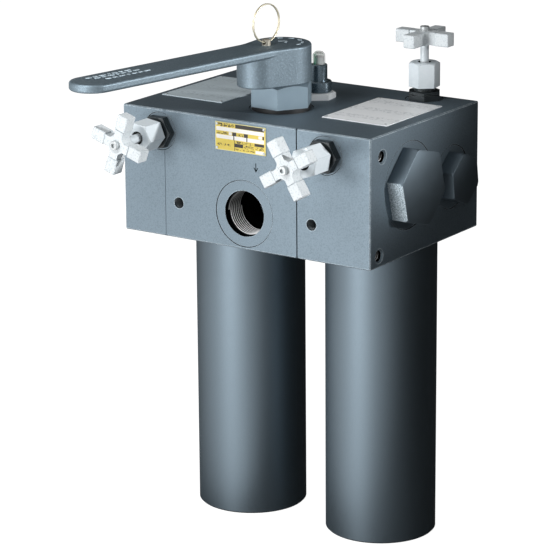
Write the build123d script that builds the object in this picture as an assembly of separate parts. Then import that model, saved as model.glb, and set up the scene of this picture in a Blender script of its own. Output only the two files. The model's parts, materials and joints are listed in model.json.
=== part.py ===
from build123d import *

import math
import os

# A duplex high-pressure oil filter: one head block, two screwed bowls with their elements, and a
# rotary transfer valve that a hand lever turns from one bowl to the other.
# All sizes are in millimetres. The origin is the centre of the inlet port's mouth.
# X runs to the right, Y back into the block and Z up. Left and right are as seen from the front.

# Clearances
RUNNING_FIT = 0.05  # radial, between turning or sliding pieces and between screwed pieces
SEAT_GAP = 0.3  # between faces that close on each other without touching
AXIAL_PLAY = 0.1  # end play of pieces held between two shoulders
RING_PLAY = 0.05  # between a soft ring and its groove
PAST = 1.0  # how far a cutting body runs past the face it opens

# Head block
HEAD_WIDTH = 287.5
HEAD_DEPTH = 197.5
HEAD_HEIGHT = 127.0
HEAD_EDGE = 1.0
SPOTFACE_DEPTH = 0.5
TOP_Z = 91.5  # top face above the inlet axis

# Pipe ports, front inlet and rear outlet
PORT_RADIUS = 22.6
PORT_DEPTH = 32.0
PORT_FACE_RADIUS = 33.0

# Oil ways
INLET_WAY_RADIUS = 17.0
OUTLET_WAY_RADIUS = 16.0
CROSS_WAY_RADIUS = 15.0
CROSS_WAY_Z = 33.5
GALLERY_RADIUS = 17.0
GALLERY_SETBACK = 48.15  # behind the middle of the head
GALLERY_Z = 25.2
DOWN_WAY_RADIUS = 8.0
BLEED_WAY_RADIUS = 3.0

# Screwed plugs that close the cross ways and the gallery
BIG_PLUG_RADIUS = 30.5
BIG_PLUG_HEX = 69.85
BIG_PLUG_HEAD = 17.0
BIG_PLUG_FACE_RADIUS = 43.0
BIG_PLUG_TURN = 44.5
SMALL_PLUG_RADIUS = 20.6
SMALL_PLUG_HEX = 46.0
SMALL_PLUG_HEAD = 16.5
SMALL_PLUG_FACE_RADIUS = 31.7
SMALL_PLUG_TURN = 38.0
PLUG_SHANK = 28.0
PLUG_RING_WIRE = 1.3
PLUG_LIP = 1.0  # metal between the ring groove and the head
PLUG_BORE_WALL = 8.0
PLUG_CROWN = 6.0  # metal between the groove and the plug's inner bore
HEX_CROWN = 0.97  # turned end of a hexagon head, as a share of its width across flats
HEX_BEVEL = 30.0  # slope of the turned corners, in degrees

# Fixing holes and the two scribed lines of the front face
FRONT_HOLE_SPACING = 155.2
FRONT_HOLE_RADIUS = 5.6
FRONT_HOLE_DEPTH = 25.0
SIDE_HOLE_RADIUS = 5.25
SIDE_HOLE_SINK = 7.2
SIDE_HOLE_DEPTH = 22.0
SIDE_HOLES = ((21.0, 21.0), (15.7, 116.0))  # (from the front face, below the top face)
LINE_WIDTH = 0.6
LINE_DEPTH = 0.5
FULL_LINE_X = 61.0
SHORT_LINE_X = -93.7

# Plates on the head
PLATE_THICKNESS = 0.8
NAMEPLATE_WIDTH = 58.5
NAMEPLATE_HEIGHT = 27.3
NAMEPLATE_X = -3.0
NAMEPLATE_DROP = 17.4  # its middle below the top face
TOP_PLATE_WIDTH = 73.0
TOP_PLATE_DEPTH = 101.5
LEFT_PLATE_X = -99.2
RIGHT_PLATE_X = 91.2
TOP_PLATE_SETBACK = 5.45  # behind the middle of the head

# Transfer valve
STEM_X = -2.3
STEM_ADVANCE = 30.25  # before the middle of the head
BONNET_FACE_RADIUS = 31.6
BONNET_HEX = 55.0
BONNET_HEX_HEIGHT = 23.0
BONNET_TURN = -3.0
WASHER_RADIUS = 29.0
WASHER_HEIGHT = 3.6
NECK_RADIUS = 27.0
NECK_LENGTH = 30.0
VALVE_PLUG_RADIUS = 24.0
VALVE_PLUG_WALL = 6.0
VALVE_PLUG_ROOF = 10.0
VALVE_PLUG_RIM = 1.0  # whole rim left under the window
CHAMBER_RADIUS = 21.0
WINDOW_ANGLE = 200.0
STEM_RADIUS = 12.0
STEM_SQUARE = 16.8
RING_WIRE = 1.5  # section radius of the valve's soft rings

# Hand lever
LEVER_ANGLE = -101.0  # direction of the lever at rest, from +X
LEVER_REACH = 264.0
LEVER_WIDTH = 43.0
LEVER_THICKNESS = 8.5
LEVER_ROUND = 2.5
LEVER_BLEND = 40.0  # fillet where the hub runs into the arm
HUB_RADIUS = 29.5
HUB_NOSE_RADIUS = 21.0
HUB_NOSE_REACH = 31.0
HUB_HEIGHT = 37.6
HUB_LIFT = 0.4  # gap between the hub and the bonnet
HUB_ROUND = 1.5
SET_SCREW_RADIUS = 4.0
SET_SCREW_HEX = 4.0
SET_SCREW_SOCKET = 5.0
SET_SCREW_SUNK = 2.0
SET_SCREW_RISE = 12.0

# Lock pin and pull ring
PIN_REACH = 20.0
PIN_HEAD_RADIUS = 4.25
PIN_HEAD_RISE = 6.0
PIN_ROD_RADIUS = 3.0
PIN_COLLAR_RADIUS = 6.2
PIN_COLLAR_HEIGHT = 2.0
PIN_COLLAR_RISE = 4.0  # collar above the hub's underside
PIN_BORE_RADIUS = 6.5
PIN_BORE_ROOF = 6.5  # metal above the spring bore
PIN_BEVEL = 0.6
PIN_EYE_RADIUS = 2.0
PIN_EYE_RISE = 3.0
SLOT_CLEARANCE = 0.3
SLOT_DEPTH = 4.0
FRONT_ANGLE = -90.0  # lever straight to the front
LEVER_SWING = 90.0  # each way from there
RING_RADIUS = 20.0
RING_COIL_RADIUS = 0.75
RING_COIL_OFFSET = 0.7
PIN_SPRING_RADIUS = 5.0
PIN_SPRING_WIRE = 0.7
PIN_SPRING_TURNS = 6

# Needle valves: places as (x, drop or y), how far each is open and how each hexagon and handle lies
LEFT_VALVE_X = -99.2
RIGHT_VALVE_X = 93.4
FRONT_VALVE_DROP = 22.0
TOP_VALVE_X = 93.3
TOP_VALVE_ADVANCE = 19.5  # before the back face
VALVE_FACE_RADIUS = 18.75
VALVE_SHANK_RADIUS = 8.0
VALVE_SHANK = 18.0
VALVE_BASE_HEX = 30.0
VALVE_BASE_HEIGHT = 9.0
VALVE_GROOVE_RADIUS = 13.5
VALVE_GROOVE_LOW = 5.6
VALVE_GROOVE_HIGH = 6.5
VALVE_BEVEL = 1.0
VALVE_NECK_RADIUS = 10.0
VALVE_NECK_TOP = 10.5
VALVE_RIM_RADIUS = 11.2
VALVE_RIM_TOP = 13.0
VALVE_CAVITY_RADIUS = 6.2
VALVE_CAVITY_FLOOR = -8.0
VALVE_SEAT_RADIUS = 2.2
VALVE_INSERT_RADIUS = 8.0
VALVE_BONNET_HEX = 27.0
VALVE_BONNET_TOP = 37.5
VALVE_RECESS_RADIUS = 6.4
VALVE_RECESS_DEPTH = 3.0
PACKING_RADIUS = 7.0
PACKING_BOTTOM = 25.0
PACKING_TOP = 32.0
SPINDLE_RADIUS = 4.25
SPINDLE_FOOT_RADIUS = 5.6
SPINDLE_FOOT_TOP = 1.0
SPINDLE_FOOT_BOTTOM = -4.0
NEEDLE_TOP_RADIUS = 2.6
NEEDLE_POINT_RADIUS = 0.95
NEEDLE_SHOULDER = 1.5
NEEDLE_TOP = -1.0
NEEDLE_BOTTOM = -10.0
SPINDLE_SQUARE = 6.0
VALVE_TRAVEL = 4.5
HANDLE_BOTTOM = 55.5
HANDLE_THICKNESS = 13.0
HANDLE_REACH = 30.0
HANDLE_ARMS = 4
HANDLE_ARM = 12.3
HANDLE_WAIST = 9.8
HANDLE_STEP_REACH = 14.5
HANDLE_HUB_RADIUS = 9.5
HANDLE_BLEND = 3.0
HANDLE_EDGE = 0.6
NUB_RADIUS = 4.6
NUB_HEIGHT = 4.5
NUB_BEVEL = 0.5
NUB_SOCKET = 4.0
NUB_SOCKET_DEPTH = 2.5
NUB_SCREW_RADIUS = 2.0
NUB_SCREW_LENGTH = 9.0
LEFT_VALVE_OPEN = 3.0

# Clogging indicator
INDICATOR_X = 3.5
INDICATOR_SETBACK = 27.25  # behind the middle of the head
INDICATOR_SHANK_RADIUS = 9.5
INDICATOR_SHANK = 20.0
INDICATOR_HEX = 29.0
INDICATOR_HEX_TOP = 6.4
INDICATOR_TURN = 37.0
INDICATOR_COLLAR_RADIUS = 12.5
INDICATOR_COLLAR_TOP = 17.5
INDICATOR_BODY_RADIUS = 8.3
INDICATOR_BODY_TOP = 34.0
INDICATOR_LENS_RADIUS = 6.3
INDICATOR_LENS_TOP = 46.4
INDICATOR_LENS_WALL = 1.2
INDICATOR_LENS_TAPER = 2.5
INDICATOR_BEVEL = 0.8
INDICATOR_BORE_RADIUS = 4.0
INDICATOR_BORE_TOP = 31.0
INDICATOR_SPOOL_RADIUS = 2.5
INDICATOR_SPOOL_RISE = 2.0  # foot of the spool above the shank's end
INDICATOR_FLANGE = 2.0
INDICATOR_HEAD_RADIUS = 4.6
INDICATOR_HEAD_TAPER = 1.5
INDICATOR_STROKE = 3.0
INDICATOR_SPRING_RADIUS = 3.25
INDICATOR_SPRING_WIRE = 0.35
INDICATOR_SPRING_TURNS = 5

# Bowls
BOWL_SPACING = 156.8
BOWL_SETBACK = 24.25  # behind the middle of the head
BOWL_RADIUS = 55.5
BOWL_BORE_RADIUS = 45.0
BOWL_BOTTOM_Z = -341.0
BOWL_FLOOR = 16.0
BOWL_EDGE = 1.5
SOCKET_RADIUS = 52.1
SOCKET_DEPTH = 30.0
NECK_PLAY = 0.1  # radial play of the bowl's screwed neck
BOWL_GROOVE_RISE = 7.0  # groove above the head's underside
BOWL_CORNER = 4.0  # bevel inside, between the wall and the floor
BOWL_LIP = 1.0  # bevels at the shoulder and at the neck's end
BOWL_RING_WIRE = 1.55
BACKUP_THICKNESS = 1.8
RELIEF_RADIUS = 46.0
RELIEF_HEIGHT = 6.0
DRAIN_RADIUS = 9.0
DRAIN_HEX = 9.5
DRAIN_DEPTH = 12.0
DRAIN_SOCKET = 8.0
DRAIN_FLANGE_RADIUS = 13.0
DRAIN_FLANGE = 4.0
DRAIN_RECESS = 0.6

# Filter elements and the nipples that hold them
NIPPLE_RADIUS = 17.0
NIPPLE_BORE = 13.0
NIPPLE_SCREW = 7.5
NIPPLE_HANG = 25.0
NIPPLE_TAPER = 1.5
NIPPLE_LEAD = 3.0
NIPPLE_WAY_RADIUS = 14.0
ELEMENT_DROP = 9.0  # top of the element below the relief's ceiling
ELEMENT_CAP_RADIUS = 40.0
ELEMENT_CAP = 5.0
ELEMENT_COLLAR_RADIUS = 21.5
ELEMENT_COLLAR = 15.0
ELEMENT_CLEAR = 14.0  # under the lower cap
ELEMENT_FEET = 3
ELEMENT_FOOT_REACH = 28.0
ELEMENT_FOOT_RADIUS = 4.0
MEDIA_RADIUS = 38.0
MEDIA_VALLEY_RADIUS = 27.0
PLEATS = 36
CORE_RADIUS = 24.0
CORE_WALL = 1.2
CORE_SLOT_WIDTH = 4.0
CORE_SLOT_ROWS = 3
CORE_SLOTS = 6
CORE_SLOT_SHARE = 0.7  # of a row's height

# Places that follow from the sizes
FRONT_Y = -SPOTFACE_DEPTH
BACK_Y = FRONT_Y + HEAD_DEPTH
MIDDLE_Y = FRONT_Y + HEAD_DEPTH / 2
STEM_Y = MIDDLE_Y - STEM_ADVANCE
GALLERY_Y = MIDDLE_Y + GALLERY_SETBACK
BOWL_Y = MIDDLE_Y + BOWL_SETBACK
TOP_PLATE_Y = MIDDLE_Y + TOP_PLATE_SETBACK
TOP_VALVE_Y = BACK_Y - TOP_VALVE_ADVANCE
INDICATOR_Y = MIDDLE_Y + INDICATOR_SETBACK
BOTTOM_Z = TOP_Z - HEAD_HEIGHT
SIDE_X = HEAD_WIDTH / 2
NECK_BOTTOM_Z = TOP_Z - NECK_LENGTH
VALVE_PLUG_BOTTOM_Z = CROSS_WAY_Z - CROSS_WAY_RADIUS - VALVE_PLUG_RIM
VALVE_PLUG_TOP_Z = NECK_BOTTOM_Z - AXIAL_PLAY
BONNET_TOP_Z = TOP_Z + WASHER_HEIGHT + BONNET_HEX_HEIGHT
HUB_BOTTOM_Z = BONNET_TOP_Z + HUB_LIFT
HUB_TOP_Z = HUB_BOTTOM_Z + HUB_HEIGHT
STEM_TOP_Z = HUB_TOP_Z - LEVER_THICKNESS
BONNET_RING_Z = TOP_Z - NECK_LENGTH / 2
FRONT_VALVE_Z = TOP_Z - FRONT_VALVE_DROP
RELIEF_TOP_Z = BOTTOM_Z + SOCKET_DEPTH + RELIEF_HEIGHT
ELEMENT_TOP_Z = RELIEF_TOP_Z - ELEMENT_DROP
ELEMENT_BOTTOM_Z = BOWL_BOTTOM_Z + BOWL_FLOOR + ELEMENT_CLEAR
NECK_OUTER_RADIUS = SOCKET_RADIUS - NECK_PLAY
BOWL_GROOVE_DEPTH = 2 * (BOWL_RING_WIRE + RING_PLAY)
BOWL_GROOVE_WIDTH = BOWL_GROOVE_DEPTH + BACKUP_THICKNESS + 2 * RING_PLAY
BOWL_GROOVE_Z = BOTTOM_Z + BOWL_GROOVE_RISE
INDICATOR_FOOT = AXIAL_PLAY - INDICATOR_SHANK
HANDLE_TOP = HANDLE_BOTTOM + HANDLE_THICKNESS
SCREW_BOTTOM = HANDLE_TOP - NUB_SCREW_LENGTH
VALVE_INSERT_BOTTOM = SPINDLE_FOOT_TOP + VALVE_TRAVEL + SEAT_GAP
SIDES = (("left", -1), ("right", 1))

ON_BASE = (Align.CENTER, Align.CENTER, Align.MIN)


def turned(*outline):
    """A solid of revolution about Z from (radius, height) points."""
    profile = Plane.XZ * make_face(Polyline(*outline, close=True))
    return revolve(profile, Axis.Z)


def rod(start, end, radius):
    """A round bar between two points."""
    run = Vector(*end) - Vector(*start)
    base = Plane(origin=start, z_dir=run).location
    return base * Cylinder(radius, run.length, align=ON_BASE)


def hexagon(across, height, turn):
    """A six-sided bar on the XY plane, one corner at the angle turn."""
    return extrude(RegularPolygon(across / 2, 6, major_radius=False, rotation=turn), height)


def hex_head(across, height, turn, crown=HEX_CROWN):
    """A six-sided head with the corners of its outer end turned off."""
    corner = across / math.sqrt(3)
    flat = across / 2 * crown
    drop = (corner - flat) * math.tan(math.radians(HEX_BEVEL))
    limit = turned((0, 0), (corner, 0), (corner, height - drop), (flat, height), (0, height))
    return hexagon(across, height, turn) & limit


def soft_ring(middle_radius, wire, height):
    """A round-section sealing ring lying at a height."""
    return Pos(0, 0, height) * Torus(middle_radius, wire)


def collar_ring(inner, outer, bottom, top):
    """A plain ring between two radii and two heights."""
    return turned((inner, bottom), (outer, bottom), (outer, top), (inner, top))


def arc_bar(inner, outer, bottom, height, start, span):
    """A part of a ring that lies on a height, from one angle through a span."""
    wedge = Cylinder(outer, height, arc_size=span, align=None) - Cylinder(inner, height, align=None)
    return Pos(0, 0, bottom) * Rot(0, 0, start) * wedge


def spring(radius, wire, bottom, top, turns):
    """A helical spring whose end coils lie inside the two heights."""
    height = top - bottom - 2 * wire
    path = Helix(height / turns, height, radius)
    section = Plane(path @ 0, z_dir=path % 0) * Circle(wire)
    return Pos(0, 0, bottom + wire) * sweep(section, path=path, is_frenet=True)


# Frames in which the pieces that stand on the head are made: Z outwards from the face
def on_front(x, z):
    return Plane(origin=(x, 0, z), x_dir=(1, 0, 0), z_dir=(0, -1, 0)).location


def on_top(x, y):
    return Plane(origin=(x, y, TOP_Z - SPOTFACE_DEPTH)).location


def on_right(y, z):
    origin = (SIDE_X - SPOTFACE_DEPTH, y, z)
    return Plane(origin=origin, x_dir=(0, 1, 0), z_dir=(1, 0, 0)).location


VALVES = (
    ("left_bleed", on_front(LEFT_VALVE_X, FRONT_VALVE_Z), LEFT_VALVE_OPEN, -8.0, -18.0),
    ("right_bleed", on_front(RIGHT_VALVE_X, FRONT_VALVE_Z), 0.0, 20.0, 31.0),
    ("top_vent", on_top(TOP_VALVE_X, TOP_VALVE_Y), 0.0, 40.0, 0.0),
)
STEM_AXIS = Pos(STEM_X, STEM_Y, 0)
BOWL_AXES = {name: Pos(side * BOWL_SPACING / 2, BOWL_Y, 0) for name, side in SIDES}


def both_sides(shape):
    """A cut or a piece of the right side with its mirror image."""
    return [shape, mirror(shape, about=Plane.YZ)]


def port_cuts():
    """Inlet and outlet ports with their spotfaces and the ways behind them."""
    end = BACK_Y - SPOTFACE_DEPTH
    return [
        rod((0, FRONT_Y - PAST, 0), (0, 0, 0), PORT_FACE_RADIUS),
        rod((0, FRONT_Y, 0), (0, PORT_DEPTH, 0), PORT_RADIUS),
        rod((0, PORT_DEPTH - PAST, 0), (STEM_X, STEM_Y, 0), INLET_WAY_RADIUS),
        rod((0, BACK_Y + PAST, GALLERY_Z), (0, end, GALLERY_Z), PORT_FACE_RADIUS),
        rod((0, BACK_Y, GALLERY_Z), (0, end - PORT_DEPTH, GALLERY_Z), PORT_RADIUS),
        rod((0, end - PORT_DEPTH + PAST, GALLERY_Z), (0, GALLERY_Y, GALLERY_Z), OUTLET_WAY_RADIUS),
    ]


def transfer_cuts():
    """The upright bore of the transfer valve, widest where the bonnet screws in."""
    middle = (STEM_X, STEM_Y, VALVE_PLUG_BOTTOM_Z)
    neck = (STEM_X, STEM_Y, NECK_BOTTOM_Z)
    top = (STEM_X, STEM_Y, TOP_Z + PAST)
    face = (STEM_X, STEM_Y, TOP_Z - SPOTFACE_DEPTH)
    return [
        rod((STEM_X, STEM_Y, -INLET_WAY_RADIUS), neck, CHAMBER_RADIUS),
        rod(middle, neck, VALVE_PLUG_RADIUS + RUNNING_FIT),
        rod(neck, top, NECK_RADIUS + RUNNING_FIT),
        rod(face, top, BONNET_FACE_RADIUS),
    ]


def side_plug_cuts(y, z, radius, face_radius, way_radius):
    """A cross way through the block with a screwed port and a spotface at each end."""
    floor_x = SIDE_X - SPOTFACE_DEPTH
    cuts = [rod((-floor_x, y, z), (floor_x, y, z), way_radius)]
    cuts += both_sides(rod((floor_x, y, z), (SIDE_X + PAST, y, z), face_radius))
    cuts += both_sides(rod((floor_x - PLUG_SHANK, y, z), (SIDE_X, y, z), radius + RUNNING_FIT))
    return cuts


def socket_cuts(name):
    """The screwed socket of one bowl, the relief above it and the ways into and out of it."""
    axis = BOWL_AXES[name]
    x = axis.position.X
    socket = Pos(0, 0, BOTTOM_Z - PAST) * Cylinder(SOCKET_RADIUS, SOCKET_DEPTH + PAST, align=ON_BASE)
    relief = Pos(0, 0, BOTTOM_Z) * Cylinder(RELIEF_RADIUS, RELIEF_TOP_Z - BOTTOM_Z, align=ON_BASE)
    low, high = RELIEF_TOP_Z - PAST, RELIEF_TOP_Z + NIPPLE_SCREW
    screw = rod((0, 0, low), (0, 0, high), NIPPLE_RADIUS + RUNNING_FIT)
    way = rod((0, 0, RELIEF_TOP_Z), (0, 0, GALLERY_Z + GALLERY_RADIUS / 2), NIPPLE_WAY_RADIUS)
    down_y = BOWL_Y - RELIEF_RADIUS + DOWN_WAY_RADIUS / 2
    down = rod((x, down_y, low), (x, STEM_Y + CROSS_WAY_RADIUS / 2, CROSS_WAY_Z), DOWN_WAY_RADIUS)
    return [axis * socket, axis * relief, axis * screw, axis * way, down]


def valve_cuts():
    """Spotface, screwed pocket and bleed way of each needle valve."""
    cuts = []
    for _, frame, *_ in VALVES:
        cuts.append(frame * rod((0, 0, 0), (0, 0, PAST), VALVE_FACE_RADIUS))
        cuts.append(frame * rod((0, 0, -VALVE_SHANK), (0, 0, PAST), VALVE_SHANK_RADIUS + RUNNING_FIT))
    for x in (LEFT_VALVE_X, RIGHT_VALVE_X):
        start = (x, VALVE_SHANK - PAST, FRONT_VALVE_Z)
        cuts.append(rod(start, (x, STEM_Y, CROSS_WAY_Z), BLEED_WAY_RADIUS))
    start = (TOP_VALVE_X, TOP_VALVE_Y, TOP_Z - VALVE_SHANK)
    cuts.append(rod(start, (TOP_VALVE_X, GALLERY_Y, GALLERY_Z + GALLERY_RADIUS / 2), BLEED_WAY_RADIUS))
    return cuts


def indicator_cuts():
    """Pocket of the clogging indicator with its ways to the inlet and the outlet side."""
    top = (INDICATOR_X, INDICATOR_Y, TOP_Z + PAST)
    floor = (INDICATOR_X, INDICATOR_Y, TOP_Z - INDICATOR_SHANK)
    side_z = TOP_Z - INDICATOR_SHANK + BLEED_WAY_RADIUS
    high = (INDICATOR_X, INDICATOR_Y - INDICATOR_SHANK_RADIUS / 2, side_z)
    cross = (STEM_X + VALVE_PLUG_RADIUS + CROSS_WAY_RADIUS, STEM_Y, CROSS_WAY_Z)
    return [
        rod(floor, top, INDICATOR_SHANK_RADIUS + RUNNING_FIT),
        rod(floor, (INDICATOR_X, GALLERY_Y, GALLERY_Z + GALLERY_RADIUS / 2), BLEED_WAY_RADIUS),
        rod(high, cross, BLEED_WAY_RADIUS),
    ]


def hole_cuts():
    """Tapped fixing holes in the front and, countersunk, in both side faces."""
    cuts = []
    for side in (-1, 1):
        x = side * FRONT_HOLE_SPACING / 2
        cuts.append(rod((x, FRONT_Y - PAST, 0), (x, FRONT_Y + FRONT_HOLE_DEPTH, 0), FRONT_HOLE_RADIUS))
    for depth, drop in SIDE_HOLES:
        y, z = FRONT_Y + depth, TOP_Z - drop
        cuts += both_sides(rod((SIDE_X - SIDE_HOLE_DEPTH, y, z), (SIDE_X + PAST, y, z), SIDE_HOLE_RADIUS))
        depth_of_sink = SIDE_HOLE_SINK - SIDE_HOLE_RADIUS
        sink = Cone(SIDE_HOLE_RADIUS, SIDE_HOLE_SINK, depth_of_sink, align=ON_BASE)
        face = Plane(origin=(SIDE_X - depth_of_sink, y, z), z_dir=(1, 0, 0)).location
        cuts += both_sides(face * sink)
    return cuts


def line_cuts():
    """The two scribed lines of the front face."""
    short = FRONT_VALVE_Z - VALVE_FACE_RADIUS - BOTTOM_Z
    return [
        Pos(x, FRONT_Y, BOTTOM_Z + height / 2) * Box(LINE_WIDTH, 2 * LINE_DEPTH, height)
        for x, height in ((FULL_LINE_X, HEAD_HEIGHT), (SHORT_LINE_X, short))
    ]


def head_block():
    middle = Pos(0, (FRONT_Y + BACK_Y) / 2, (TOP_Z + BOTTOM_Z) / 2)
    block = middle * Box(HEAD_WIDTH, HEAD_DEPTH, HEAD_HEIGHT)
    block = chamfer(block.edges(), HEAD_EDGE)
    cuts = port_cuts() + transfer_cuts() + valve_cuts() + indicator_cuts() + hole_cuts() + line_cuts()
    cuts += side_plug_cuts(
        STEM_Y, CROSS_WAY_Z, BIG_PLUG_RADIUS, BIG_PLUG_FACE_RADIUS, CROSS_WAY_RADIUS
    )
    cuts += side_plug_cuts(
        GALLERY_Y, GALLERY_Z, SMALL_PLUG_RADIUS, SMALL_PLUG_FACE_RADIUS, GALLERY_RADIUS
    )
    for name, _ in SIDES:
        cuts += socket_cuts(name)
    return block - cuts


def side_plug(radius, across, head, turn):
    """A hexagon plug: head on the spotface, screwed shank with a ring groove, bored out inside."""
    wide = 2 * (PLUG_RING_WIRE + RING_PLAY)
    floor = radius - wide
    low = -wide - PLUG_LIP
    bore = radius - PLUG_BORE_WALL
    crown = low - PLUG_CROWN
    shank = turned(
        (0, 0), (radius, 0), (radius, -PLUG_LIP), (floor, -PLUG_LIP), (floor, low), (radius, low),
        (radius, AXIAL_PLAY - PLUG_SHANK), (bore, AXIAL_PLAY - PLUG_SHANK), (bore, crown), (0, crown),
    )
    return hex_head(across, head + SPOTFACE_DEPTH, turn, crown=1.0) + shank


def plug_ring(radius):
    return soft_ring(radius - PLUG_RING_WIRE, PLUG_RING_WIRE, -PLUG_LIP - PLUG_RING_WIRE - RING_PLAY)


def side_plugs():
    """The four plugs and their rings."""
    front = on_right(STEM_Y, CROSS_WAY_Z)
    rear = on_right(GALLERY_Y, GALLERY_Z)
    big = front * side_plug(BIG_PLUG_RADIUS, BIG_PLUG_HEX, BIG_PLUG_HEAD, BIG_PLUG_TURN)
    small = rear * side_plug(SMALL_PLUG_RADIUS, SMALL_PLUG_HEX, SMALL_PLUG_HEAD, SMALL_PLUG_TURN)
    rings = both_sides(front * plug_ring(BIG_PLUG_RADIUS))
    rings += both_sides(rear * plug_ring(SMALL_PLUG_RADIUS))
    return {
        "right_front_plug": big,
        "left_front_plug": mirror(big, about=Plane.YZ),
        "right_rear_plug": small,
        "left_rear_plug": mirror(small, about=Plane.YZ),
        "side_plug_seals": Compound(rings),
    }


def plates():
    """The front nameplate and the two plain plates on top."""
    name_place = Pos(NAMEPLATE_X, FRONT_Y, TOP_Z - NAMEPLATE_DROP)
    name = name_place * Box(
        NAMEPLATE_WIDTH, PLATE_THICKNESS, NAMEPLATE_HEIGHT, align=(Align.CENTER, Align.MAX, Align.CENTER)
    )
    top = Box(TOP_PLATE_WIDTH, TOP_PLATE_DEPTH, PLATE_THICKNESS, align=ON_BASE)
    tops = [Pos(x, TOP_PLATE_Y, TOP_Z) * top for x in (LEFT_PLATE_X, RIGHT_PLATE_X)]
    return {"nameplate": name, "top_plates": Compound(tops)}


def valve_plug():
    """The rotary plug: hollow from below, its wall cut away on the lever's side, with its stem."""
    wall = VALVE_PLUG_RADIUS - VALVE_PLUG_WALL
    low = VALVE_PLUG_BOTTOM_Z + RUNNING_FIT
    roof = VALVE_PLUG_TOP_Z - VALVE_PLUG_ROOF
    body = turned(
        (wall, low), (VALVE_PLUG_RADIUS, low), (VALVE_PLUG_RADIUS, VALVE_PLUG_TOP_Z),
        (STEM_RADIUS, VALVE_PLUG_TOP_Z), (STEM_RADIUS, HUB_BOTTOM_Z), (0, HUB_BOTTOM_Z), (0, roof),
        (wall, roof),
    )
    square = Rectangle(STEM_SQUARE, STEM_SQUARE)
    drive = Pos(0, 0, HUB_BOTTOM_Z) * extrude(square, STEM_TOP_Z - HUB_BOTTOM_Z)
    window = arc_bar(
        wall - PAST, VALVE_PLUG_RADIUS + PAST, CROSS_WAY_Z - CROSS_WAY_RADIUS, 2 * CROSS_WAY_RADIUS,
        -WINDOW_ANGLE / 2, WINDOW_ANGLE,
    )
    return STEM_AXIS * Rot(0, 0, LEVER_ANGLE) * (body - window + drive)


def bonnet():
    """The hexagon bonnet that screws in over the plug, with the lock pin's arc slot on top."""
    groove = 2 * (RING_WIRE + RING_PLAY)
    stem_bore = STEM_RADIUS + RUNNING_FIT
    low, high = BONNET_RING_Z - groove / 2, BONNET_RING_Z + groove / 2
    neck = collar_ring(stem_bore, NECK_RADIUS, NECK_BOTTOM_Z, TOP_Z + WASHER_HEIGHT)
    neck -= collar_ring(NECK_RADIUS - groove, NECK_RADIUS + PAST, low, high)
    neck -= collar_ring(stem_bore, stem_bore + groove, low, high)
    head = Pos(0, 0, TOP_Z + WASHER_HEIGHT) * hex_head(BONNET_HEX, BONNET_HEX_HEIGHT, BONNET_TURN)
    head -= rod((0, 0, TOP_Z), (0, 0, BONNET_TOP_Z + PAST), stem_bore)
    half = PIN_ROD_RADIUS + SLOT_CLEARANCE
    floor = BONNET_TOP_Z - SLOT_DEPTH
    first = FRONT_ANGLE - LEVER_SWING
    slot = arc_bar(PIN_REACH - half, PIN_REACH + half, floor, SLOT_DEPTH + PAST, first, 2 * LEVER_SWING)
    end = Pos(PIN_REACH, 0, floor) * Cylinder(half, SLOT_DEPTH + PAST, align=ON_BASE)
    ends = [Rot(0, 0, angle) * end for angle in (first, first + 2 * LEVER_SWING)]
    return STEM_AXIS * (neck + head - slot - ends)


def transfer_rings():
    """The washer under the bonnet and the rings round its neck and round the stem."""
    inner = NECK_RADIUS + RUNNING_FIT
    stem_ring = STEM_RADIUS + RUNNING_FIT + RING_PLAY + RING_WIRE
    return {
        "bonnet_washer": STEM_AXIS * collar_ring(
            inner, WASHER_RADIUS, TOP_Z - SPOTFACE_DEPTH, TOP_Z + WASHER_HEIGHT
        ),
        "bonnet_seal": STEM_AXIS * soft_ring(NECK_RADIUS - RING_WIRE, RING_WIRE, BONNET_RING_Z),
        "stem_seal": STEM_AXIS * soft_ring(stem_ring, RING_WIRE, BONNET_RING_Z),
    }


def hub_outline():
    """Plan of the hub: round about the stem, narrowing to a nose under the arm."""
    circles = Circle(HUB_RADIUS).edges() + (Pos(HUB_NOSE_REACH, 0) * Circle(HUB_NOSE_RADIUS)).edges()
    return make_hull(circles)


def lever_outline():
    """Plan of the top plate: the hub running out into the round-ended arm."""
    tip = LEVER_WIDTH / 2
    run = LEVER_REACH - tip
    plan = hub_outline() + Pos(run, 0) * Circle(tip) + Pos(run / 2, 0) * Rectangle(run, LEVER_WIDTH)
    corners = plan.vertices().filter_by(lambda v: 0 < v.X < run - PAST)
    return fillet(corners, LEVER_BLEND)


def lever():
    """The cast lever: a deep hub with a flat arm level with its top, all edges rounded."""
    plate = Pos(0, 0, STEM_TOP_Z) * extrude(lever_outline(), LEVER_THICKNESS)
    faces = plate.faces().sort_by(Axis.Z)
    plate = fillet(faces[0].edges() + faces[-1].edges(), LEVER_ROUND)
    hub = Pos(0, 0, HUB_BOTTOM_Z) * extrude(hub_outline(), HUB_HEIGHT - LEVER_ROUND)
    hub = fillet(hub.faces().sort_by(Axis.Z)[0].edges(), HUB_ROUND)
    square = STEM_SQUARE + 2 * RUNNING_FIT
    low = HUB_BOTTOM_Z - PAST
    roof = HUB_TOP_Z - PIN_BORE_ROOF
    screw_z = HUB_BOTTOM_Z + SET_SCREW_RISE
    cuts = [
        Pos(0, 0, low) * extrude(Rectangle(square, square), STEM_TOP_Z + AXIAL_PLAY - low),
        rod((PIN_REACH, 0, low), (PIN_REACH, 0, roof), PIN_BORE_RADIUS),
        rod((PIN_REACH, 0, roof - PAST), (PIN_REACH, 0, HUB_TOP_Z + PAST), PIN_HEAD_RADIUS + RUNNING_FIT),
        rod((0, 0, screw_z), (-HUB_RADIUS - PAST, 0, screw_z), SET_SCREW_RADIUS + RUNNING_FIT),
    ]
    return STEM_AXIS * Rot(0, 0, LEVER_ANGLE) * (plate + hub - cuts)


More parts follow.
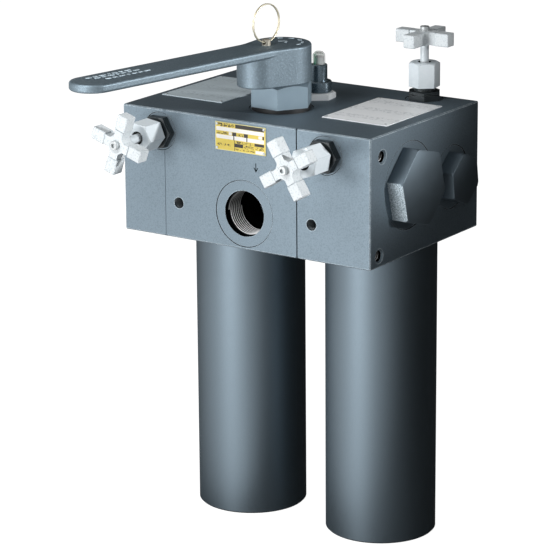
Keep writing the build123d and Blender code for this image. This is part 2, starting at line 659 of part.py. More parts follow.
def lever_set_screw():
    """The socket set screw that clamps the hub on the stem's square."""
    length = HUB_RADIUS - SET_SCREW_SUNK - STEM_SQUARE / 2
    screw = Cylinder(SET_SCREW_RADIUS, length, align=ON_BASE)
    screw -= Pos(0, 0, length - SET_SCREW_SOCKET) * hexagon(SET_SCREW_HEX, SET_SCREW_SOCKET + PAST, 0)
    z = HUB_BOTTOM_Z + SET_SCREW_RISE
    face = Plane(origin=(-STEM_SQUARE / 2, 0, z), z_dir=(-1, 0, 0)).location
    return STEM_AXIS * Rot(0, 0, LEVER_ANGLE) * face * screw


def pin_axis():
    """The lock pin's axis, square to the head so that its eye runs from front to back."""
    place = (STEM_AXIS * Rot(0, 0, LEVER_ANGLE) * Pos(PIN_REACH, 0, 0)).position
    return Pos(place.X, place.Y, 0)


def lock_pin():
    """The spring-loaded pin: head with an eye, rod, collar for the spring and a tip in the slot."""
    collar = HUB_BOTTOM_Z + PIN_COLLAR_RISE
    neck = HUB_TOP_Z - PIN_BORE_ROOF
    top = HUB_TOP_Z + PIN_HEAD_RISE
    tip = BONNET_TOP_Z - SLOT_DEPTH + RUNNING_FIT
    pin = turned(
        (0, tip), (PIN_ROD_RADIUS - PIN_BEVEL, tip), (PIN_ROD_RADIUS, tip + PIN_BEVEL),
        (PIN_ROD_RADIUS, collar), (PIN_COLLAR_RADIUS, collar),
        (PIN_COLLAR_RADIUS, collar + PIN_COLLAR_HEIGHT), (PIN_ROD_RADIUS, collar + PIN_COLLAR_HEIGHT),
        (PIN_ROD_RADIUS, neck), (PIN_HEAD_RADIUS, neck), (PIN_HEAD_RADIUS, top - PIN_BEVEL),
        (PIN_HEAD_RADIUS - PIN_BEVEL, top), (0, top),
    )
    z = HUB_TOP_Z + PIN_EYE_RISE
    reach = PIN_HEAD_RADIUS + PAST
    return pin_axis() * (pin - rod((0, -reach, z), (0, reach, z), PIN_EYE_RADIUS))


def pin_spring():
    bottom = HUB_BOTTOM_Z + PIN_COLLAR_RISE + PIN_COLLAR_HEIGHT
    top = HUB_TOP_Z - PIN_BORE_ROOF
    return pin_axis() * spring(PIN_SPRING_RADIUS, PIN_SPRING_WIRE, bottom, top, PIN_SPRING_TURNS)


def pull_ring():
    """The split ring: two coils side by side, standing in the pin's eye."""
    coil = Torus(RING_RADIUS, RING_COIL_RADIUS)
    pair = Pos(0, 0, -RING_COIL_OFFSET) * coil + Pos(0, 0, RING_COIL_OFFSET) * coil
    z = HUB_TOP_Z + PIN_EYE_RISE + RING_RADIUS
    return pin_axis() * Pos(0, 0, z) * Rot(0, 90, 0) * pair


def valve_body():
    """The valve's lower body: screwed shank, grooved hexagon and the rim that the bonnet meets."""
    base = hexagon(VALVE_BASE_HEX, VALVE_BASE_HEIGHT, 0)
    corner = VALVE_BASE_HEX / math.sqrt(3)
    limit = turned(
        (0, 0), (corner, 0), (corner, VALVE_GROOVE_LOW), (VALVE_GROOVE_RADIUS, VALVE_GROOVE_LOW),
        (VALVE_GROOVE_RADIUS, VALVE_GROOVE_HIGH), (corner, VALVE_GROOVE_HIGH),
        (corner, VALVE_BASE_HEIGHT - VALVE_BEVEL), (VALVE_BASE_HEX / 2, VALVE_BASE_HEIGHT),
        (0, VALVE_BASE_HEIGHT),
    )
    neck = turned(
        (0, -VALVE_SHANK), (VALVE_SHANK_RADIUS - VALVE_BEVEL, -VALVE_SHANK),
        (VALVE_SHANK_RADIUS, VALVE_BEVEL - VALVE_SHANK), (VALVE_SHANK_RADIUS, 0),
        (VALVE_NECK_RADIUS, 0), (VALVE_NECK_RADIUS, VALVE_NECK_TOP),
        (VALVE_RIM_RADIUS, VALVE_NECK_TOP), (VALVE_RIM_RADIUS, VALVE_RIM_TOP), (0, VALVE_RIM_TOP),
    )
    insert = VALVE_INSERT_RADIUS + RUNNING_FIT
    bore = turned(
        (0, -VALVE_SHANK), (VALVE_SEAT_RADIUS, -VALVE_SHANK), (VALVE_SEAT_RADIUS, VALVE_CAVITY_FLOOR),
        (VALVE_CAVITY_RADIUS, VALVE_CAVITY_FLOOR), (VALVE_CAVITY_RADIUS, VALVE_INSERT_BOTTOM),
        (insert, VALVE_INSERT_BOTTOM), (insert, VALVE_RIM_TOP), (0, VALVE_RIM_TOP),
    )
    return (base & limit) + neck - bore


def valve_bonnet(turn):
    """The bright hexagon bonnet with its insert, spindle bore, packing chamber and open recess."""
    bore = SPINDLE_RADIUS + RUNNING_FIT
    packing = PACKING_RADIUS + RING_PLAY
    low = VALVE_INSERT_BOTTOM + AXIAL_PLAY
    recess = VALVE_BONNET_TOP - VALVE_RECESS_DEPTH
    height = VALVE_BONNET_TOP - VALVE_RIM_TOP
    head = Pos(0, 0, VALVE_RIM_TOP) * hex_head(VALVE_BONNET_HEX, height, turn)
    insert = Pos(0, 0, low) * Cylinder(VALVE_INSERT_RADIUS, VALVE_RIM_TOP - low, align=ON_BASE)
    hollow = turned(
        (0, low), (bore, low), (bore, PACKING_BOTTOM), (packing, PACKING_BOTTOM),
        (packing, PACKING_TOP), (bore, PACKING_TOP), (bore, recess), (VALVE_RECESS_RADIUS, recess),
        (VALVE_RECESS_RADIUS, VALVE_BONNET_TOP), (0, VALVE_BONNET_TOP),
    )
    return head + insert - hollow


def valve_packing():
    inner = SPINDLE_RADIUS + RUNNING_FIT
    return collar_ring(inner, PACKING_RADIUS, PACKING_BOTTOM + RING_PLAY, PACKING_TOP - RING_PLAY)


def valve_needle():
    """The tip that turns freely in the spindle's foot and closes the seat."""
    seat = VALVE_SEAT_RADIUS - RUNNING_FIT
    return turned(
        (0, NEEDLE_BOTTOM), (NEEDLE_POINT_RADIUS, NEEDLE_BOTTOM), (seat, VALVE_CAVITY_FLOOR),
        (NEEDLE_TOP_RADIUS, VALVE_CAVITY_FLOOR + NEEDLE_SHOULDER), (NEEDLE_TOP_RADIUS, NEEDLE_TOP),
        (0, NEEDLE_TOP),
    )


def valve_spindle():
    """The rising spindle: foot with the needle's socket, shaft and squared end."""
    socket = NEEDLE_TOP_RADIUS + RUNNING_FIT
    roof = NEEDLE_TOP + AXIAL_PLAY
    shaft = turned(
        (socket, SPINDLE_FOOT_BOTTOM), (SPINDLE_FOOT_RADIUS, SPINDLE_FOOT_BOTTOM),
        (SPINDLE_FOOT_RADIUS, SPINDLE_FOOT_TOP), (SPINDLE_RADIUS, SPINDLE_FOOT_TOP),
        (SPINDLE_RADIUS, HANDLE_BOTTOM), (0, HANDLE_BOTTOM), (0, roof), (socket, roof),
    )
    top = HANDLE_TOP - AXIAL_PLAY
    square = Rectangle(SPINDLE_SQUARE, SPINDLE_SQUARE)
    end = Pos(0, 0, HANDLE_BOTTOM) * extrude(square, top - HANDLE_BOTTOM)
    screw = rod((0, 0, SCREW_BOTTOM - PAST), (0, 0, top + PAST), NUB_SCREW_RADIUS + RUNNING_FIT)
    return shaft + end - screw


def handle():
    """The cross handle: four square arms, each stepped in to a waist that blends into the hub."""
    length = HANDLE_REACH - HANDLE_STEP_REACH
    outline = Circle(HANDLE_HUB_RADIUS)
    across = 2 * HANDLE_STEP_REACH
    outline += Rectangle(across, HANDLE_WAIST) + Rectangle(HANDLE_WAIST, across)
    inner = outline.vertices().filter_by(lambda v: Vector(*v).length < HANDLE_HUB_RADIUS + RUNNING_FIT)
    outline = fillet(inner, HANDLE_BLEND)
    block = Pos(HANDLE_STEP_REACH + length / 2, 0) * Rectangle(length, HANDLE_ARM)
    solid = extrude(outline, HANDLE_THICKNESS)
    arm = chamfer(extrude(block, HANDLE_THICKNESS).edges(), HANDLE_EDGE)
    solid += [Rot(0, 0, 360 / HANDLE_ARMS * i) * arm for i in range(HANDLE_ARMS)]
    square = SPINDLE_SQUARE + 2 * RUNNING_FIT
    solid -= extrude(Rectangle(square, square), HANDLE_THICKNESS)
    return Pos(0, 0, HANDLE_BOTTOM) * solid


def handle_screw():
    """The screw that holds the handle, its round head proud of the hub."""
    top = HANDLE_TOP + NUB_HEIGHT
    screw = turned(
        (0, SCREW_BOTTOM), (NUB_SCREW_RADIUS, SCREW_BOTTOM), (NUB_SCREW_RADIUS, HANDLE_TOP),
        (NUB_RADIUS, HANDLE_TOP), (NUB_RADIUS, top - NUB_BEVEL), (NUB_RADIUS - NUB_BEVEL, top), (0, top),
    )
    return screw - Pos(0, 0, top - NUB_SOCKET_DEPTH) * hexagon(NUB_SOCKET, NUB_SOCKET_DEPTH + PAST, 0)


def needle_valves():
    """The three needle valves, each at its place, turn and opening."""
    pieces = {}
    packings = []
    for name, frame, opening, hex_turn, handle_turn in VALVES:
        lifted = frame * Pos(0, 0, opening) * Rot(0, 0, handle_turn)
        pieces[name + "_body"] = frame * valve_body()
        pieces[name + "_bonnet"] = frame * valve_bonnet(hex_turn)
        pieces[name + "_needle"] = lifted * valve_needle()
        pieces[name + "_spindle"] = lifted * valve_spindle()
        pieces[name + "_handle"] = lifted * handle()
        pieces[name + "_handle_screw"] = lifted * handle_screw()
        packings.append(frame * valve_packing())
    pieces["valve_packings"] = Compound(packings)
    return pieces


def indicator_base():
    """The screwed base with its bright hexagon and the spool's bore."""
    bore = INDICATOR_SPOOL_RADIUS + RUNNING_FIT
    shank = Pos(0, 0, INDICATOR_FOOT) * Cylinder(INDICATOR_SHANK_RADIUS, -INDICATOR_FOOT, align=ON_BASE)
    head = hex_head(INDICATOR_HEX, INDICATOR_HEX_TOP, INDICATOR_TURN)
    return head + shank - rod((0, 0, INDICATOR_FOOT - PAST), (0, 0, INDICATOR_HEX_TOP + PAST), bore)


def indicator_body():
    """The dark body: wide collar, narrower barrel and the spring chamber inside."""
    fit = INDICATOR_SPOOL_RADIUS + RUNNING_FIT
    bore = INDICATOR_BORE_RADIUS
    collar = INDICATOR_COLLAR_RADIUS
    barrel = INDICATOR_BODY_RADIUS
    low, seat, top = INDICATOR_HEX_TOP, INDICATOR_COLLAR_TOP, INDICATOR_BODY_TOP
    bevel = INDICATOR_BEVEL
    return turned(
        (fit, low), (collar - bevel, low), (collar, low + bevel), (collar, seat - bevel),
        (collar - bevel, seat), (barrel, seat), (barrel, top - bevel), (barrel - bevel, top),
        (fit, top), (fit, INDICATOR_BORE_TOP), (bore, INDICATOR_BORE_TOP), (bore, seat), (fit, seat),
    )


def indicator_lens():
    """The clear dome."""
    radius, wall = INDICATOR_LENS_RADIUS, INDICATOR_LENS_WALL
    low, top, taper = INDICATOR_BODY_TOP, INDICATOR_LENS_TOP, INDICATOR_LENS_TAPER
    return turned(
        (radius - wall, low), (radius, low), (radius, top - taper), (radius - taper, top), (0, top),
        (0, top - wall), (radius - taper - wall / 2, top - wall), (radius - wall, top - taper - wall / 2),
    )


def indicator_spool():
    """The spool: rod, spring flange and the coloured head that rises in the dome."""
    rod_radius = INDICATOR_SPOOL_RADIUS
    flange = INDICATOR_BORE_RADIUS - RUNNING_FIT
    seat = INDICATOR_COLLAR_TOP + RUNNING_FIT
    head = INDICATOR_BODY_TOP + SEAT_GAP
    top = INDICATOR_LENS_TOP - INDICATOR_LENS_WALL - INDICATOR_STROKE - SEAT_GAP
    foot = INDICATOR_FOOT + INDICATOR_SPOOL_RISE
    return turned(
        (0, foot), (rod_radius, foot), (rod_radius, seat), (flange, seat),
        (flange, seat + INDICATOR_FLANGE), (rod_radius, seat + INDICATOR_FLANGE), (rod_radius, head),
        (INDICATOR_HEAD_RADIUS, head), (INDICATOR_HEAD_RADIUS, top - INDICATOR_HEAD_TAPER),
        (INDICATOR_HEAD_RADIUS - INDICATOR_HEAD_TAPER, top), (0, top),
    )


def indicator_spring():
    bottom = INDICATOR_COLLAR_TOP + RUNNING_FIT + INDICATOR_FLANGE
    return spring(
        INDICATOR_SPRING_RADIUS, INDICATOR_SPRING_WIRE, bottom, INDICATOR_BORE_TOP, INDICATOR_SPRING_TURNS
    )


def indicator():
    """The clogging indicator on the head's top face."""
    place = Pos(INDICATOR_X, INDICATOR_Y, TOP_Z)
    return {
        "indicator_base": place * indicator_base(),
        "indicator_body": place * indicator_body(),
        "indicator_lens": place * indicator_lens(),
        "indicator_spool": place * indicator_spool(),
        "indicator_spring": place * indicator_spring(),
    }


def bowl():
    """A deep bowl turned from bar: screwed neck with the seal groove, plain wall, flat floor."""
    neck, outer, bore = NECK_OUTER_RADIUS, BOWL_RADIUS, BOWL_BORE_RADIUS
    base = BOWL_BOTTOM_Z
    floor = base + BOWL_FLOOR
    shoulder = BOTTOM_Z - SEAT_GAP
    top = BOTTOM_Z + SOCKET_DEPTH - SEAT_GAP
    groove = neck - BOWL_GROOVE_DEPTH
    low, high = BOWL_GROOVE_Z, BOWL_GROOVE_Z + BOWL_GROOVE_WIDTH
    wall = turned(
        (0, base), (outer - BOWL_EDGE, base), (outer, base + BOWL_EDGE), (outer, shoulder - BOWL_LIP),
        (outer - BOWL_LIP, shoulder), (neck, shoulder), (neck, low), (groove, low), (groove, high),
        (neck, high), (neck, top - BOWL_LIP), (neck - BOWL_LIP, top), (bore, top),
        (bore, floor + BOWL_CORNER), (bore - BOWL_CORNER, floor), (0, floor),
    )
    flange = DRAIN_FLANGE_RADIUS + RUNNING_FIT
    screw = DRAIN_RADIUS + RUNNING_FIT
    recess = base + DRAIN_RECESS + DRAIN_FLANGE
    drain = turned((0, base), (flange, base), (flange, recess), (screw, recess), (screw, floor), (0, floor))
    return wall - drain


def drain_plug():
    """The flush drain plug with a hexagon socket."""
    low = BOWL_BOTTOM_Z + DRAIN_RECESS
    top = low + DRAIN_FLANGE
    plug = turned(
        (0, low), (DRAIN_FLANGE_RADIUS, low), (DRAIN_FLANGE_RADIUS, top), (DRAIN_RADIUS, top),
        (DRAIN_RADIUS, low + DRAIN_DEPTH), (0, low + DRAIN_DEPTH),
    )
    return plug - Pos(0, 0, low) * hexagon(DRAIN_HEX, DRAIN_SOCKET, 0)


def bowl_rings():
    """The bowl's sealing ring and the backup ring above it in the same groove."""
    inner = NECK_OUTER_RADIUS - BOWL_GROOVE_DEPTH + RING_PLAY
    low = BOWL_GROOVE_Z + RING_PLAY
    seal = soft_ring(inner + BOWL_RING_WIRE, BOWL_RING_WIRE, low + BOWL_RING_WIRE)
    backup_low = low + 2 * BOWL_RING_WIRE + RING_PLAY
    backup = collar_ring(inner, NECK_OUTER_RADIUS, backup_low, backup_low + BACKUP_THICKNESS)
    return seal, backup


def pleated_media(bottom, top):
    """The pleated pack: a star-shaped tube between the caps."""
    points = []
    for i in range(2 * PLEATS):
        radius = MEDIA_RADIUS if i % 2 == 0 else MEDIA_VALLEY_RADIUS
        angle = math.pi * i / PLEATS
        points.append((radius * math.cos(angle), radius * math.sin(angle)))
    star = make_face(Polyline(*points, close=True)) - Circle(CORE_RADIUS + RUNNING_FIT)
    return Pos(0, 0, bottom) * extrude(star, top - bottom)


def element_core(bottom, top):
    """The support tube with rows of long slots."""
    tube = collar_ring(CORE_RADIUS - CORE_WALL, CORE_RADIUS, bottom, top)
    row = (top - bottom) / CORE_SLOT_ROWS
    slots = []
    for i in range(CORE_SLOT_ROWS):
        for k in range(CORE_SLOTS // 2):
            slot = Box(2 * (CORE_RADIUS + PAST), CORE_SLOT_WIDTH, row * CORE_SLOT_SHARE)
            slots.append(Pos(0, 0, bottom + (i + 0.5) * row) * Rot(0, 0, 360 / CORE_SLOTS * k) * slot)
    return tube - slots


def element_caps(bottom, top):
    """The upper cap with its collar round the nipple and the closed lower cap with three feet."""
    bore = NIPPLE_RADIUS + RUNNING_FIT
    collar = ELEMENT_COLLAR_RADIUS
    upper = turned(
        (bore, top), (ELEMENT_CAP_RADIUS, top), (ELEMENT_CAP_RADIUS, top - ELEMENT_CAP),
        (collar, top - ELEMENT_CAP), (collar, top - ELEMENT_COLLAR), (bore, top - ELEMENT_COLLAR),
    )
    lower = Pos(0, 0, bottom) * Cylinder(ELEMENT_CAP_RADIUS, ELEMENT_CAP, align=ON_BASE)
    for i in range(ELEMENT_FEET):
        foot = Pos(ELEMENT_FOOT_REACH, 0, bottom - ELEMENT_CLEAR + SEAT_GAP) * Cylinder(
            ELEMENT_FOOT_RADIUS, ELEMENT_CLEAR - SEAT_GAP, align=ON_BASE
        )
        lower += Rot(0, 0, 360 / ELEMENT_FEET * i) * foot
    return Compound([upper, lower])


def nipple():
    """The nipple that screws up into the head and carries the element."""
    top = RELIEF_TOP_Z + NIPPLE_SCREW
    bottom = RELIEF_TOP_Z - NIPPLE_HANG
    return turned(
        (NIPPLE_BORE, bottom), (NIPPLE_RADIUS - NIPPLE_TAPER, bottom), (NIPPLE_RADIUS, bottom + NIPPLE_LEAD),
        (NIPPLE_RADIUS, top), (NIPPLE_BORE, top),
    )


def bowl_sets():
    """Each bowl with its rings, drain plug, element and nipple."""
    pieces = {}
    seal, backup = bowl_rings()
    low = ELEMENT_BOTTOM_Z + ELEMENT_CAP
    high = ELEMENT_TOP_Z - ELEMENT_CAP
    parts = {
        "bowl": bowl(),
        "bowl_seal": seal,
        "backup_ring": backup,
        "drain_plug": drain_plug(),
        "element_media": pleated_media(low, high),
        "element_core": element_core(low, high),
        "element_caps": element_caps(ELEMENT_BOTTOM_Z, ELEMENT_TOP_Z),
        "element_nipple": nipple(),
    }
    for name, _ in SIDES:
        for part, shape in parts.items():
            pieces[name + "_" + part] = BOWL_AXES[name] * shape
    return pieces


def model():
    pieces = {
        "head_block": head_block(),
        "transfer_bonnet": bonnet(),
        "transfer_plug": valve_plug(),
        "transfer_lever": lever(),
        "lever_set_screw": lever_set_screw(),
        "lock_pin": lock_pin(),
        "lock_pin_spring": pin_spring(),
        "pull_ring": pull_ring(),
    }
    for group in (side_plugs(), plates(), transfer_rings(), needle_valves(), indicator(), bowl_sets()):
        pieces.update(group)
    return pieces


os.makedirs("parts", exist_ok=True)
for node, shape in model().items():
    export_step(shape, "parts/" + node + ".step")
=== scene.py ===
import bpy
import json
import math
from mathutils import Matrix, Vector

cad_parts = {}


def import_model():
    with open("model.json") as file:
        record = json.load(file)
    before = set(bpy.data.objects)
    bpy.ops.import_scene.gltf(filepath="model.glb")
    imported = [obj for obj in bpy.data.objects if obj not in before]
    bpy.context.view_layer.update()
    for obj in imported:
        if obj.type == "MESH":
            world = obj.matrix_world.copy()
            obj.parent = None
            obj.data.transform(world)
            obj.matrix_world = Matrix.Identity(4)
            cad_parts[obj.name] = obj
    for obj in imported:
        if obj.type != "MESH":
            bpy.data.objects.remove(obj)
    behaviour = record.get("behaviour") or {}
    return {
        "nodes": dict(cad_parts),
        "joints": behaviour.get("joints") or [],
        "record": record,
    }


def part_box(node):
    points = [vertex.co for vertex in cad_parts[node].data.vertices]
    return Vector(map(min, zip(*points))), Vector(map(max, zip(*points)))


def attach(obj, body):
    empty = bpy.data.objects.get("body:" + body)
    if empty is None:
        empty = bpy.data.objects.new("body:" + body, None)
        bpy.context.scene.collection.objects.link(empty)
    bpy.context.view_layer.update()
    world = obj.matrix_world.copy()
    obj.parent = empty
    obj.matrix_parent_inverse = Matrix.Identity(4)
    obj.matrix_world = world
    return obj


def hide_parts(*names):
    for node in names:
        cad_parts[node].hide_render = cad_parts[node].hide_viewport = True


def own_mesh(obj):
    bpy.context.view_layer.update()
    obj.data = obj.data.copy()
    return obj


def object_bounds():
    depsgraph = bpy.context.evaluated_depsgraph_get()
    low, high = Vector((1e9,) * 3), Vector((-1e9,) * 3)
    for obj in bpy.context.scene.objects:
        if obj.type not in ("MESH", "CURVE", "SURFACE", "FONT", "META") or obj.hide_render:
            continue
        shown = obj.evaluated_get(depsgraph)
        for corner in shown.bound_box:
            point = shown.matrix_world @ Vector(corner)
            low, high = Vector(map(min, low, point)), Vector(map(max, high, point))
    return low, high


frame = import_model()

# The looks of a duplex high-pressure filter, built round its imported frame. All lengths are in metres.
cad_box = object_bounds()
bpy.ops.object.select_all(action="DESELECT")

MM = 0.001
NODES = frame["nodes"]
MOUNTS = {mount["name"]: mount for mount in frame["record"]["mounts"]}
JOINTS = {joint["name"]: joint for joint in frame["joints"]}
VALVES = ("left_bleed", "right_bleed", "top_vent")
SIDES = ("left", "right")

# Camera, as fitted to the corners of the head block
CAMERA_PLACE = Vector((1.5492, -2.2103, 0.7050))
CAMERA_AZIMUTH = 34.412
CAMERA_ELEVATION = 15.855
CAMERA_ROLL = -0.427
CAMERA_LENS = 189.66

# Studio: the direction of its bright side, where that side ends, how bright metal sees the far side, and how
# strong the even light is from behind and from ahead
BRIGHT_SIDE = (-0.3, -0.95, 0.0)
BRIGHT_SIDE_END = -0.3
DARK_SIDE = 0.02
EVEN_LIGHT_BEHIND = 0.12
EVEN_LIGHT_AHEAD = 0.38

# Floor: its colour, its glow in reflections and how much of that glow the camera sees
FLOOR_COLOR = (0.86, 0.86, 0.86)
FLOOR_GLOW = 1.38
FLOOR_SHARE = 0.72

# Sheen of the blackened steel: a strong, broad, slightly blue gloss over a dark colour
SHEEN = {"IOR": 1.95, "Specular_IOR_Level": 1.0, "Specular_Tint": (0.68, 0.86, 1.0, 1.0)}

# Radii of the round spotfaces, along whose edges fine lines of painted shade are drawn
VALVE_SPOTFACE = 18.75 * MM
PORT_SPOTFACE = 33.0 * MM
BONNET_SPOTFACE = 31.6 * MM
PLUG_SPOTFACES = {"front": 43.0 * MM, "rear": 31.7 * MM}

# Radius of the recess round each valve's spindle, where shade is painted dark, and how far from their mouths
# the painted shade in ports, holes and recesses reaches
VALVE_RECESS_SHADE = 6.5 * MM
PAINTED_SHADE_REACH = 60.0 * MM

# The scribed lines of the front face, the crisp one first, and the arrow stamped above the inlet
SCRIBED_LINES = (61.0 * MM, -93.7 * MM)
ARROW_PLACE = (14.2 * MM, 0.0, 47.5 * MM)
ARROW_REACH = 4.2 * MM

# Printed fields of the nameplate: left, right, top and bottom as shares of its size from the top left corner
WHITE_FIELDS = (
    (0.02, 0.97, 0.17, 0.31), (0.02, 0.36, 0.45, 0.59), (0.38, 0.62, 0.45, 0.59), (0.64, 0.97, 0.45, 0.59),
    (0.27, 0.33, 0.33, 0.43), (0.86, 0.93, 0.33, 0.43), (0.80, 0.97, 0.86, 0.97),
)
BLACK_FIELDS = (
    (0.40, 0.97, 0.02, 0.16), (0.34, 0.42, 0.32, 0.45), (0.57, 0.65, 0.32, 0.45), (0.94, 0.97, 0.32, 0.44),
    (0.36, 0.38, 0.44, 0.60), (0.62, 0.64, 0.44, 0.60), (0.375, 0.385, 0.60, 1.0), (0.385, 0.555, 0.71, 0.84),
    (0.78, 0.97, 0.61, 0.71),
)
MARK_FIELDS = (
    (0.03, 0.38, 0.03, 0.15), (0.03, 0.26, 0.34, 0.43), (0.43, 0.56, 0.34, 0.43), (0.40, 0.77, 0.62, 0.70),
    (0.57, 0.76, 0.73, 0.86), (0.80, 0.96, 0.74, 0.84), (0.39, 0.78, 0.89, 0.94), (0.04, 0.30, 0.76, 0.84),
)

# Threads: pitch, how far the crests stand out of the plain CAD wall, how deep in a hole the first turn lies,
# and on the valves' necks also the radius, the foot above the face and the length
PORT_PITCH = 3.0 * MM
PORT_CREST = 1.2 * MM
PORT_LEAD = 5.5 * MM
HOLE_PITCH = 1.75 * MM
HOLE_CREST = 0.7 * MM
HOLE_LEAD = 1.75 * MM
HOLE_THREAD = 22.0 * MM
NECK_PITCH = 0.8 * MM
NECK_CREST = 0.35 * MM
NECK_RADIUS = 11.1 * MM
NECK_FOOT = 10.7 * MM
NECK_THREAD = 2.0 * MM
THREAD_STEPS = 40

# Side plugs: shank radii and how much of them is left under the soft ring, depth of the spotfaces, ground
# corners, rounding of the edges, and the direction of the front plugs' facet on which speckled light is
# painted
PLUG_SHANKS = {"front": 30.5 * MM, "rear": 20.6 * MM}
SHANK_SHARE = 0.88
SEAT_DEPTH = 0.5 * MM
PLUG_CORNER = 2.6 * MM
PLUG_ROUND = 0.35 * MM
LIT_FACET_FACING = (0.0, -0.97, -0.25)

# Return springs: joint, body, wire radius, turns and the joint's travel
SPRINGS = {
    "lock_pin_spring": ("lock_pin_lift", "transfer", 0.7 * MM, 6, 5.0 * MM),
    "indicator_spring": ("indicator_rise", "head", 0.35 * MM, 5, 3.0 * MM),
}

# Split ring: its two turns lie an offset to each side of its middle and cross over within a short angle
RING_RADIUS = 18.5 * MM
RING_WIRE = 0.65 * MM
RING_OFFSET = 0.65 * MM
RING_TURN = -7.5
RING_CROSSING = 24.0
RING_CROSSING_PLACE = 200.0
RING_CROSSING_STEPS = 6
RING_STEPS = 60

# Rivets of the plates, and the width of each plate on top
RIVET_RADIUS = 1.4 * MM
RIVET_RISE = 0.6 * MM
TOP_RIVET_INSET = 3.2 * MM
NAMEPLATE_RIVET_INSET = 1.9 * MM
TOP_PLATE_WIDTH = 73.0 * MM

# Raised cast marks: three rows of bars near the lever's tip, an arc of bars and an arrow on its hub. Angles
# are in degrees, and lengths and places without MM are in millimetres, measured along the lever from its axis
LEVER_DIRECTION = -101.0
MARK_RISE = 0.7 * MM
MARK_WIDTH = 2.6 * MM
MARK_LENGTHS = (7.0, 4.5, 6.0, 3.5, 7.5, 5.0, 6.5)
MARK_ROWS = (-9.0, -3.5, 5.0)
MARK_START = 188.0
MARK_GAP = 2.4
ROW_SHIFT = 6.0
HUB_ARC = range(100, 261, 32)
HUB_RADIUS = 20.5
HUB_MARK = 5.5
ARROW_MARK = 8.0
ARROW_MARK_X = -4.0
ARROW_MARK_Y = 2.6
ARROW_MARK_TURN = 40.0


# Shader maths written as formulas
class Field:
    """A shader value that can be used in arithmetic."""

    def __init__(self, shading, socket):
        self.shading = shading
        self.socket = socket

    def math(self, operation, *others):
        return self.shading.node("Math", {"operation": operation}, dict(enumerate((self,) + others)))

    def __add__(self, other):
        return self.math("ADD", other)

    def __mul__(self, other):
        return self.math("MULTIPLY", other)

    def __sub__(self, other):
        return self.math("SUBTRACT", other)

    def __rsub__(self, other):
        return self.shading.node("Math", {"operation": "SUBTRACT"}, {0: other, 1: self})

    def __truediv__(self, other):
        return self.math("DIVIDE", other)

    def __abs__(self):
        return self.math("ABSOLUTE")

    def __lt__(self, other):
        return self.math("LESS_THAN", other)

    def __gt__(self, other):
        return self.math("GREATER_THAN", other)

    __radd__ = __add__
    __rmul__ = __mul__


class Shading:
    """One node tree, with nodes added by kind."""

    def __init__(self, tree):
        self.tree = tree

    def node(self, kind, settings=None, values=None, out=0):
        """Adds a node, sets it up, feeds its sockets and gives one of its outputs."""
        node = self.tree.nodes.new("ShaderNode" + kind)
        for key, value in (settings or {}).items():
            setattr(node, key, value)
        for key, value in (values or {}).items():
            self.feed(node.inputs[key], value)
        return Field(self, node.outputs[out])

    def feed(self, socket, value):
        if isinstance(value, Field):
            self.tree.links.new(value.socket, socket)
        else:
            socket.default_value = value

    def blend(self, factor, first, second):
        """A colour between two colours."""
        return self.node("Mix", {"data_type": "RGBA"},
                         {"Factor": factor, 6: as_colour(first), 7: as_colour(second)}, out=2)

    def step(self, value, low, high, bottom=0.0, top=1.0):
        """Bottom below low, top above high, smooth between."""
        return self.node("MapRange", {"interpolation_type": "SMOOTHSTEP"},
                         {"Value": value, "From Min": low, "From Max": high, "To Min": bottom, "To Max": top})


class Finish(Shading):
    """One material, whose constants are set on the shader's own sockets."""

    def __init__(self, name, **constants):
        self.material = bpy.data.materials.new(name)
        self.material.use_nodes = True
        super().__init__(self.material.node_tree)
        self.shader = self.tree.nodes["Principled BSDF"]
        for socket, value in constants.items():
            self.set(socket.replace("_", " "), value)
        self.place = self.node("TexCoord", out="Object")

    def set(self, name, value):
        self.feed(self.shader.inputs[name], value)

    def scaled(self, scale, centre=(0.0, 0.0, 0.0)):
        """Object coordinates from a centre, stretched."""
        moved = self.node("Mapping", {"vector_type": "TEXTURE"}, {"Vector": self.place, "Location": centre})
        return self.node("Mapping", {}, {"Vector": moved, "Scale": scale})

    def noise(self, size, detail=3.0, stretch=(1.0, 1.0, 1.0), roughness=0.5):
        """Noise from 0 to 1 whose spots are about size metres, stretched along the axes."""
        vector = self.scaled(tuple(1.0 / (size * s) for s in stretch))
        return self.node("TexNoise", {"normalize": True},
                         {"Vector": vector, "Scale": 1.0, "Detail": detail, "Roughness": roughness})

    def axes(self, centre=(0.0, 0.0, 0.0)):
        """The three coordinates from a centre as values."""
        vector = self.scaled((1.0, 1.0, 1.0), centre)
        return [self.node("SeparateXYZ", {}, {0: vector}, out=axis) for axis in range(3)]

    def around(self, centre, axis):
        """Distance from an axis that runs along X, Y or Z, and the distance along it from a centre."""
        coordinates = self.axes(centre)
        along = coordinates.pop("XYZ".index(axis))
        first, second = coordinates
        return (first * first + second * second).math("SQRT"), abs(along)

    def edges(self, radius, strength=4.0):
        """1 along the object's sharp edges, fading within a radius."""
        bevel = self.node("Bevel", {"samples": 4}, {"Radius": radius})
        normal = self.node("NewGeometry", out="Normal")
        along = self.node("VectorMath", {"operation": "DOT_PRODUCT"}, {0: bevel, 1: normal}, out="Value")
        return self.node("Math", {"operation": "MULTIPLY", "use_clamp": True}, {0: 1.0 - along, 1: strength})

    def bump(self, height, distance, strength):
        relief = {"Height": height, "Distance": distance, "Strength": strength}
        self.set("Normal", self.node("Bump", {}, relief))


def as_colour(value):
    """A plain colour gets its alpha, and a shader value stays as it is."""
    return value if isinstance(value, Field) else (*value, 1.0)


def tone(red, green, blue):
    """A display colour from 0 to 255 as scene-linear values."""
    def linear(level):
        level /= 255.0
        return level / 12.92 if level <= 0.04045 else ((level + 0.055) / 1.055) ** 2.4
    return (linear(red), linear(green), linear(blue))


def face_axis(valve):
    """The axis that a needle valve stands along."""
    return "Z" if abs(JOINTS[valve + "_turn"]["axis"][2]) > 0.5 else "Y"


